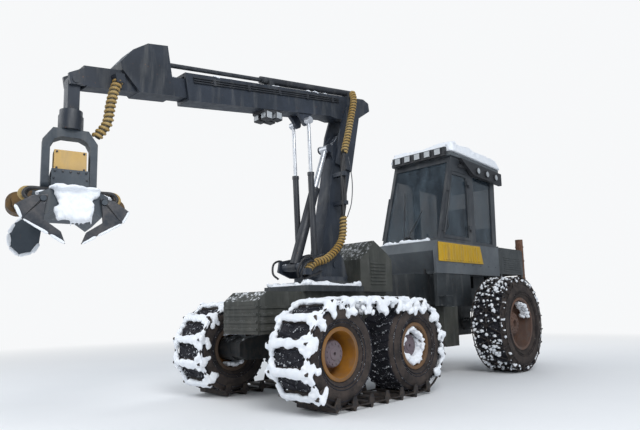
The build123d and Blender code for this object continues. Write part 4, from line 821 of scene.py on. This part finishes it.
def rear_net(side, name):
    """Net of oval links over the rear tyre, with a ring of chain down each sidewall."""
    kit = Kit()
    centre = Vector((REAR_X, side * REAR_Y, REAR_Z))
    lift = REAR_TREAD + 0.009
    turns = [tau * step / HOOP_STEPS for step in range(HOOP_STEPS + 1)]

    def run(places, outwards=None):
        """A chain through places, each given as its turn, distance across and radius."""
        points = [centre + Vector((r * cos(turned), y, r * sin(turned))) for turned, y, r in places]
        kit.chain(points, outwards or [out_of(place[0]) for place in places])

    for across in (-NET_EDGE, 0.0, NET_EDGE):
        run([(turned, across, lift) for turned in turns])
    for face in (LEFT, RIGHT):
        run([(turned, face * 0.293, 0.705) for turned in turns])
    half = tau / NET_CELLS / 2
    for cell in range(NET_CELLS):
        start = tau * cell / NET_CELLS
        for edge in (LEFT, RIGHT):
            for lean in (half, -half):
                run([(start + lean * part / 4, edge * NET_EDGE * part / 4, lift) for part in range(5)])
            corner, sideways = start + half, Vector((0, edge, 0))
            shoulder = ((NET_EDGE, lift), (0.288, 0.795), (0.3, 0.755), (0.296, 0.715))
            outwards = [out_of(corner), out_of(corner) + sideways, sideways, sideways]
            run([(corner, edge * across, radius) for across, radius in shoulder], outwards)
    net = kit.done("chain_net_" + name, "rear_wheel_" + name, "chain_steel")
    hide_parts("rear_chain_" + name)


def rear_snow(side, name):
    """Snow caught in the net of the rear chain, and blown into the rim."""
    kit = Kit()
    draw = random.Random(SEED * 5 + side).uniform
    for count in range(520):
        angle = draw(0, tau)
        across = draw(-0.295, 0.295)
        drop = 0.06 * max(0.0, abs(across) - 0.22) / 0.075
        size = draw(0.01, 0.034)
        centre = polar((REAR_X, side * REAR_Y, REAR_Z), across, REAR_TREAD + 0.004 - drop, angle)
        if centre[2] < 0.06:
            continue
        kit.lump(centre, (size, size * draw(0.6, 1.4), size), count, 0.7, 1)
    for count in range(60):
        angle = radians(draw(95, 165))
        radius = 0.385 - draw(0.0, 0.03)
        size = draw(0.02, 0.04)
        y = side * (REAR_Y + draw(0.1, 0.25))
        centre = polar((REAR_X, 0, REAR_Z), y, radius, angle)
        kit.lump(centre, (size, size * 1.3, size), count * 2.1, 0.5, 1)
    kit.done("rear_snow_" + name, "rear_wheel_" + name, "snow")


def rear_hub(side, name):
    kit = Kit()
    hub(kit, REAR_X, REAR_Z, side, REAR_HUB, 44, REAR_BOLTS)
    kit.done("rear_hub_" + name, "rear_wheel_" + name, "rim_rust", bevel=0.003)
    rings = Kit()
    sidewall_rings(rings, (REAR_X, side * REAR_Y, REAR_Z), REAR_RINGS, 0.007, 64)
    rings.done("sidewall_rings_" + name, "rear_wheel_" + name, "tyre")


for side, name in SIDES:
    track_snow(side, name)
    bogie_tread(side, name)
    hub_caps(side, name)
    rear_net(side, name)
    rear_snow(side, name)
    rear_hub(side, name)
rim_snow()


# Hoses

GUARD_PITCH = 0.052
GUARD_RADIUS = 0.016
GUARD_STEPS = 14
BUNDLES = (
    ("lift_bundle", 0.043, ("crane_post", "lift_boom"),
     [(0.34, 0.29, 1.67), (0.17, 0.285, 1.8), (-0.05, 0.31, 1.87), (-0.27, 0.32, 2.03), (-0.4, 0.32, 2.22),
      (-0.43, 0.32, 2.52)]),
    ("tip_bundle", 0.04, ("telescope_boom", "tip_link"),
     [(2.95, 0.15, 3.66), (3.0, 0.16, 3.52), (3.04, 0.17, 3.34), (3.07, 0.165, 3.14), (3.16, 0.13, 2.99)]),
    ("boom_bundle", 0.04, ("lift_boom", "stick_boom"),
     [(-0.51, 0.3, 3.51), (-0.6, 0.29, 3.75), (-0.7, 0.27, 4.02), (-0.84, 0.24, 4.42), (-0.9, 0.16, 4.6)]),
)
BOOM_HOSES = ((-0.43, 0.32, 2.5), (-0.44, 0.31, 2.8), (-0.44, 0.3, 3.15), (-0.51, 0.3, 3.53))
BOOM_SHIFTS = ((0.0, 0.0), (-0.04, -0.01), (-0.07, -0.06), (-0.11, -0.03))
BOOM_CABLE = ((-0.585, 0.31, 3.46), (-0.64, 0.33, 3.1), (-0.625, 0.32, 2.76), (-0.52, 0.32, 2.52))
LOOSE_HOSES = (
    ("post_hose", "crane_post", 0.015, [
        [(0.4, 0.22, 1.6), (0.45, 0.26, 1.7), (0.4, 0.31, 1.84), (0.27, 0.31, 1.89), (0.15, 0.28, 1.82)],
        [(0.38, 0.25, 1.6), (0.42, 0.3, 1.66), (0.37, 0.33, 1.78), (0.25, 0.33, 1.83), (0.14, 0.28, 1.76)],
        [(0.34, 0.24, 1.58), (0.33, 0.29, 1.6), (0.22, 0.3, 1.63), (0.1, 0.29, 1.66), (0.0, 0.26, 1.7)],
        [(0.36, -0.24, 1.6), (0.42, -0.29, 1.68), (0.38, -0.32, 1.82), (0.25, -0.32, 1.87),
         (0.13, -0.28, 1.8)],
    ]),
    ("service_hose", "rear_frame", 0.02, [
        [(-2.6 - 0.035 * step, 0.25 + 0.03 * (step % 3), 1.2),
         (-2.62 - 0.035 * step, 0.27 + 0.02 * (step % 3), 1.45),
         (-2.6 - 0.036 * step, 0.26 + 0.03 * (step % 2), 1.7),
         (-2.59 - 0.034 * step, 0.27, 1.93)]
        for step in range(5)
    ]),
    ("articulation_hose", "front_frame", 0.018, [
        [(-0.95, side * 0.1, 0.98), (-1.1, side * 0.16, 1.04), (-1.28, side * 0.15, 1.02)]
        for side in (LEFT, RIGHT)
    ]),
)


def bundle(name, radius, bodies, points):
    """Hoses held together by a wide spiral guard, from one body's fitting to the next body's."""
    route = smooth_path(points, 10)
    lengths = lengths_of(route)
    samples = int(lengths[-1] / GUARD_PITCH * GUARD_STEPS)
    ways = [lengths[-1] * sample / samples for sample in range(samples + 1)]
    normal = (route[1] - route[0]).orthogonal().normalized()
    spiral = []
    for way, (index, part) in zip(ways, stations(lengths, ways)):
        here = route[index].lerp(route[index + 1], part)
        along = (route[index + 1] - route[index]).normalized()
        normal = (normal - along * normal.dot(along)).normalized()
        turned = tau * way / GUARD_PITCH
        spiral.append(here + (normal * cos(turned) + along.cross(normal) * sin(turned)) * radius)
    sleeve, guard = Kit(), Kit()
    sleeve.tube(route, radius, 16)
    guard.tube(spiral, GUARD_RADIUS, 8)
    for kit, part, look in ((sleeve, "sleeve", "hose_sleeve"), (guard, "guard", "hose_yellow")):
        piece = kit.done("%s_%s" % (name, part), None, look)
        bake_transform(piece)


def hoses():
    for row in BUNDLES:
        bundle(*row)
    for number, (shift_x, shift_y) in enumerate(BOOM_SHIFTS):
        sag = 0.02 * sin(number * 2.1)
        route = [(x + shift_x * sin(pi * (0.12 + 0.76 * part / 3)), y + shift_y + sag * (part % 2), z)
                 for part, (x, y, z) in enumerate(BOOM_HOSES)]
        strand = Kit()
        strand.tube(smooth_path(route, 8), 0.016, 10)
        strand.done("boom_hose_%d" % number, "lift_boom", "hose_rubber")
    for name, body, radius, routes in LOOSE_HOSES:
        strands = Kit()
        for route in routes:
            strands.tube(smooth_path(route, 8), radius, 10)
        strands.done(name, body, "hose_rubber")
    cable = Kit()
    cable.tube(smooth_path(BOOM_CABLE, 10), 0.007, 8)
    cable.done("boom_cable", "lift_boom", "rod_dull")


hoses()


# Head

HEAD_AT = (3.372, 0.0)
HEAD_TURN = radians(75)
SPINE_TOP = 2.327
SPINE_FLAT = 0.17
SPINE_EDGE = 0.29
SPINE_END = 0.56
KNIFE_CLEAR = 0.13
KNIFE_TOP = 2.28
ROTATOR_CLEAR = 2.285
HOLLOWS = ((0.1, 2.215, 0.095, 0.028), (-0.12, 2.155, 0.1, 0.026), (-0.2, 2.29, 0.07, 0.05))
ICICLE = [0.014, 0.009, 0.003]
SAW_EDGE = ((-0.29, 2.287), (-0.45, 2.137), (-0.5, 2.027), (-0.49, 1.887), (-0.4, 1.797), (-0.28, 1.827),
            (-0.215, 1.937))
SAW_FACE = -0.519
KNIFE_EDGE = ((0.475, 2.137), (0.415, 2.017), (0.195, 1.887), (0.065, 1.807))
KNIFE_FACE = 0.604
HEAD_HOSES = ((0.22, 0.385, 2.362), (0.27, 0.43, 2.36), (0.33, 0.4, 2.35))
HEAD_BOLTS = (
    ((-0.14, -0.07, 0.0, 0.07, 0.14), ((0.16, 2.575),), 0.012),
    ((-0.125, 0.125), ((0.1205, 2.615), (0.1, 2.785)), 0.011),
    ((-0.15, 0.15), ((0.16, 2.42), (0.16, 2.5)), 0.01),
)


def on_head(x, y, z):
    """A place on the head, x along the tree towards the camera's side."""
    cosine, sine = cos(HEAD_TURN), sin(HEAD_TURN)
    return Vector((HEAD_AT[0] + x * cosine - y * sine, HEAD_AT[1] + x * sine + y * cosine, z))


HEAD_AHEAD = on_head(1, 0, 0) - on_head(0, 0, 0)


def spine_height(y):
    over = max(0.0, abs(y) - SPINE_FLAT) / (SPINE_EDGE - SPINE_FLAT)
    return SPINE_TOP - 0.06 * over


def head_snow():
    """Deep snow on the spine and down its end, with hollows and icicles."""
    kit = Kit()
    chance = random.Random(SEED * 11)
    draw = chance.uniform
    for count in range(150):
        x = draw(0.18, 0.6)
        y = draw(-0.28, 0.3) * (0.6 if x > 0.5 else 1.0)
        size = draw(0.04, 0.07)
        kit.lump(on_head(x, y, spine_height(y) - 0.004), (size, size, size * 0.42), count, 0.5)
    for count in range(50):
        x = draw(-0.5, -0.2)
        y = draw(-0.26, 0.26)
        size = draw(0.03, 0.055)
        kit.lump(on_head(x, y, spine_height(y)), (size, size, size * 0.45), count * 1.3, 0.6)
    for count in range(190):
        y = draw(-0.17, 0.19)
        z = min(draw(2.04, 2.33), ROTATOR_CLEAR)
        hollow = any(abs(y - mid_y) < wide and abs(z - mid_z) < tall for mid_y, mid_z, wide, tall in HOLLOWS)
        if hollow or (abs(y) > KNIFE_CLEAR and z < KNIFE_TOP):
            continue
        size = draw(0.026, 0.048)
        x = SPINE_END + 0.005 + 0.25 * max(0.0, 2.25 - z)
        kit.lump(on_head(x, y, z), (size, size, size), count * 2.7, 0.6)
    for count in range(9):
        root = on_head(SPINE_END + 0.045, -0.13 + 0.034 * count, 2.06)
        drop = 0.05 + 0.07 * chance.random()
        kit.tube([root, root - Vector((0, 0, drop * 0.6)), root - Vector((0, 0, drop))], ICICLE, 6)
    for count in range(26):
        y = draw(-0.15, 0.15)
        size = draw(0.02, 0.036)
        x = 0.175 + draw(0.0, 0.02)
        z = 2.35 + draw(0.0, 0.03)
        kit.lump(on_head(x, y, z), (size, size, size), count * 5.1, 0.6)
    kit.done("head_snow", "head_frame", "snow", melt=0.011)


def edge_snow(name, body, edge, x, width, rise):
    """A line of frozen snow along the edge of a plate."""
    kit = Kit()
    for number, ((y0, z0), (y1, z1)) in enumerate(zip(edge, edge[1:])):
        kit.ragged(on_head(x, y0, z0), on_head(x, y1, z1), HEAD_AHEAD, width, rise, number * 4.7 + x, 10, 8)
    kit.done(name, body, "snow", melt=0.006)


def head_hoses():
    """Hoses from the valve block over the body's sides to the arms' feet."""
    for side, name in SIDES:
        for number, (x, out, top) in enumerate(HEAD_HOSES):
            places = ((0.162, 0.05 + 0.03 * number, 2.38), (0.21, 0.14, 2.37), (x, 0.25, top),
                      (x + 0.02, out - 0.03, top - 0.01), (x + 0.03, out, 2.27), (x + 0.04, 0.29, 2.18))
            kit = Kit()
            kit.tube(smooth_path([on_head(a, side * b, c) for a, b, c in places], 8), 0.017, 10)
            look = "hose_yellow" if number == 1 else "hose_rubber"
            kit.done("head_hose_%s%d" % (name, number), "head_frame", look)


def head_bolts():
    kit = Kit()
    for across, places, size in HEAD_BOLTS:
        for y in across:
            for x, z in places:
                kit.bolt(on_head(x, y, z), HEAD_AHEAD, size, 0.01)
    kit.done("head_bolts", "head_frame", "knife_steel")


head_snow()
edge_snow("saw_snow", "head_frame", SAW_EDGE, SAW_FACE, 0.02, 0.012)
for side, name in SIDES:
    edge = [(side * y, z) for y, z in KNIFE_EDGE]
    edge_snow("knife_snow_" + name, "knife_" + name, edge, KNIFE_FACE, 0.013, 0.01)
head_hoses()
head_bolts()


# Crane

STICK_FOOT = (-0.87, 4.3)
STICK_LEAN = radians(9.6)
STICK_RISE = 0.05
STICK_DEPTH = 0.17
STICK_HALF = 0.13
LENS_HALF = 0.044
PIPE_FACE = STICK_HALF + 0.014
CLIP_FACE = STICK_HALF + 0.026


def on_stick(along, up, y):
    """A place on the stick, along its length from the elbow's pin and up from its middle line."""
    rise = up + STICK_RISE
    x = STICK_FOOT[0] + along * cos(STICK_LEAN) + rise * sin(STICK_LEAN)
    z = STICK_FOOT[1] - along * sin(STICK_LEAN) + rise * cos(STICK_LEAN)
    return Vector((x, y, z))


def boom_lenses():
    """Glass of the boom's two lamps, in front and on the near side."""
    kit = Kit()
    for along in (1.56, 1.74):
        middle = on_stick(along, -STICK_DEPTH - 0.075, 0)
        height = (middle.z - LENS_HALF, middle.z + LENS_HALF)
        front = (middle.x + 0.058, middle.x + 0.068)
        kit.box(front, (0.032, 0.118), height)
        kit.box((middle.x - 0.045, middle.x + 0.045), (0.129, 0.136), height)
        kit.box(front, (-0.118, -0.032), height)
    kit.done("boom_lenses", "stick_boom", "lamp_glass", bevel=0.008)


def crane_snow():
    """Thin ice along the upper edges of the stick."""
    kit = Kit()
    chance = random.Random(SEED * 13)
    draw = chance.uniform
    for count in range(46):
        along = draw(0.3, 3.0)
        size = draw(0.012, 0.026)
        y = chance.choice((-1, 1)) * draw(0.09, 0.125)
        kit.lump(on_stick(along, STICK_DEPTH + 0.002, y), (size * 2.4, size, size * 0.5), count * 1.9, 0.6)
    kit.done("stick_snow", "stick_boom", "snow", melt=0.006)


def crane_pipes():
    """Steel pipes and their clips along the near side of the stick."""
    pipes, clips = Kit(), Kit()
    for up in (0.06, 0.088, 0.116):
        pipes.tube([on_stick(0.25, up, PIPE_FACE), on_stick(2.9, up, PIPE_FACE)], 0.009, 10)
    step = Vector((cos(STICK_LEAN), 0, -sin(STICK_LEAN))) * 0.02
    for along in (0.4, 0.95, 1.5, 2.05, 2.6):
        foot, top = on_stick(along, 0.045, 0), on_stick(along, 0.131, 0)
        corners = (foot - step, foot + step, top + step, top - step)
        clips.skin([[(corner.x, y, corner.z) for corner in corners] for y in (STICK_HALF, CLIP_FACE)])
        for up in (0.074, 0.102):
            clips.bolt(on_stick(along, up, CLIP_FACE), (0, 1, 0), 0.008, 0.006)
    pipes.done("stick_pipes", "stick_boom", "cylinder_paint")
    clips.done("stick_clips", "stick_boom", "cylinder_paint", bevel=0.002)


boom_lenses()
crane_snow()
crane_pipes()


# Cab fittings

SCREEN_AT = (-2.56, 2.29)
SCREEN_LEAN = 0.3145
WIPER_Z = 2.4
SIDE_LAMPS = ((-3.85, 3.7), (-4.2, 3.69), (-4.56, 3.68))
LENS_FACE = 0.753
SIDE_LENS = ((0.7445, 0.0005), (0.7445, 0.056), (LENS_FACE - 0.003, 0.056), (LENS_FACE, 0.048),
             (LENS_FACE + 0.004, 0.0005))
STACK_AT = (-5.955, 0.5)


def on_screen(y, z, lift):
    """A place on the sloping screen, lifted forward off its glass."""
    return Vector((SCREEN_AT[0] - (z - SCREEN_AT[1]) * SCREEN_LEAN + lift, y, z))


def wiper(kit, pivot_y, tip_y, tip_z, blade):
    """An arm from its spindle to the middle of a blade that lies on the glass."""
    pivot = on_screen(pivot_y, WIPER_Z, 0.045)
    kit.tube([on_screen(pivot_y, WIPER_Z, -0.01), pivot + Vector((0.01, 0, 0))], 0.018, 12)
    tip = on_screen(tip_y, tip_z, 0.028)
    kit.tube(smooth_path([pivot, pivot.lerp(tip, 0.5) + Vector((0.018, 0, 0)), tip], 6), 0.007, 8)
    lean = (tip - pivot).normalized()
    ends = (tip - lean * blade, tip + lean * blade)
    for lift, size in ((0.016, 0.005), (0.008, 0.0035)):
        kit.tube([on_screen(end.y, end.z, lift) for end in ends], size, 6)


def lamp_lenses():
    """Glass of the roof's front and side lamps, and the rims of the side ones."""
    kit, rims = Kit(), Kit()
    for y in (-0.44, -0.22, 0.0, 0.22, 0.44):
        kit.box((-2.907, -2.896), (y - 0.058, y + 0.058), (3.902, 4.008))
    for side in (LEFT, RIGHT):
        for x, z in SIDE_LAMPS:
            kit.lathe([(side * out, radius) for out, radius in SIDE_LENS], (x, 0, z), 28)
            rims.ring((x, side * 0.748, z), 0.061, 0.006, 32, 8)
    kit.done("lamp_lenses", "rear_frame", "lamp_glass", bevel=0.004)
    rims.done("lamp_rims", "rear_frame", "lamp_black")


def cab_trim():
    """Wipers, door handle, exhaust bands and the bolts along the cab's base."""
    wipers, handle, stack, bolts = Kit(), Kit(), Kit(), Kit()
    wiper(wipers, -0.1, -0.22, 3.02, 0.3)
    wiper(wipers, -0.02, 0.1, 2.7, 0.22)
    wipers.done("wipers", "rear_frame", "lamp_black")
    handle_x = on_screen(0, 2.45, -0.17).x
    grip = ((0.622, 2.5), (0.655, 2.52), (0.662, 2.6), (0.655, 2.68), (0.622, 2.7))
    handle.tube(smooth_path([(handle_x, y, z) for y, z in grip], 6), 0.009, 8)
    handle.done("door_handle", "cab_door", "lamp_black")
    for z in (1.72, 2.1, 2.4):
        band = [(z - 0.018, 0.0785), (z - 0.018, 0.086), (z + 0.018, 0.086), (z + 0.018, 0.0785)]
        stack.lathe(band, (*STACK_AT, 0), 36, upright=True)
    stack.done("stack_bands", "rear_frame", "stack_rust", bevel=0.003)
    for side in (LEFT, RIGHT):
        for x in (-2.75, -3.05, -3.35, -3.65, -3.95, -4.25, -4.55):
            bolts.bolt((x, side * 0.62, 1.9), (0, side, 0), 0.011, 0.009)
    bolts.done("base_bolts", "rear_frame", "cab_grey")


lamp_lenses()
cab_trim()


# Snow on the cab, ledge and deck

ROOF = [(-3.0, -0.69, 3.965), (-3.0, 0.69, 3.965), (-4.86, 0.7, 3.895), (-4.86, -0.7, 3.895)]
LEDGE = [(-2.47, -0.6, 2.293), (-2.47, 0.45, 2.293), (-2.57, 0.45, 2.293), (-2.57, -0.6, 2.293)]
DECK = [(0.43, -0.43, 1.492), (0.43, 0.43, 1.492), (-0.67, 0.43, 1.492), (-0.67, -0.43, 1.492)]


def snow_bed(name, body, corners, height, seed, steps, edge, rough, lumps, size, voxel=0.014):
    """A drift on a face, with lumps strewn over it."""
    kit = Kit()
    kit.drift(corners, height, seed, steps, edge, rough)
    chance = random.Random(SEED * 17 + seed)
    draw = chance.uniform
    a, b, c, d = (Vector(corner) for corner in corners)
    for count in range(lumps):
        u, v = chance.random(), chance.random()
        place = a.lerp(b, u).lerp(d.lerp(c, u), v)
        bulk = size * draw(0.5, 1.2)
        centre = place + Vector((0, 0, height * draw(0.2, 0.9)))
        kit.lump(centre, (bulk, bulk, bulk), count * 3.3, 0.6)
    kit.done(name, body, "snow", melt=voxel)


snow_bed("roof_snow", "rear_frame", ROOF, 0.19, 3, (28, 20), 0.02, 0.22, 90, 0.045, 0.02)
snow_bed("ledge_snow", "rear_frame", LEDGE, 0.05, 5, (10, 24), 0.2, 0.9, 26, 0.035)
snow_bed("deck_snow", "front_frame", DECK, 0.045, 8, (18, 16), 0.1, 1.0, 90, 0.04)
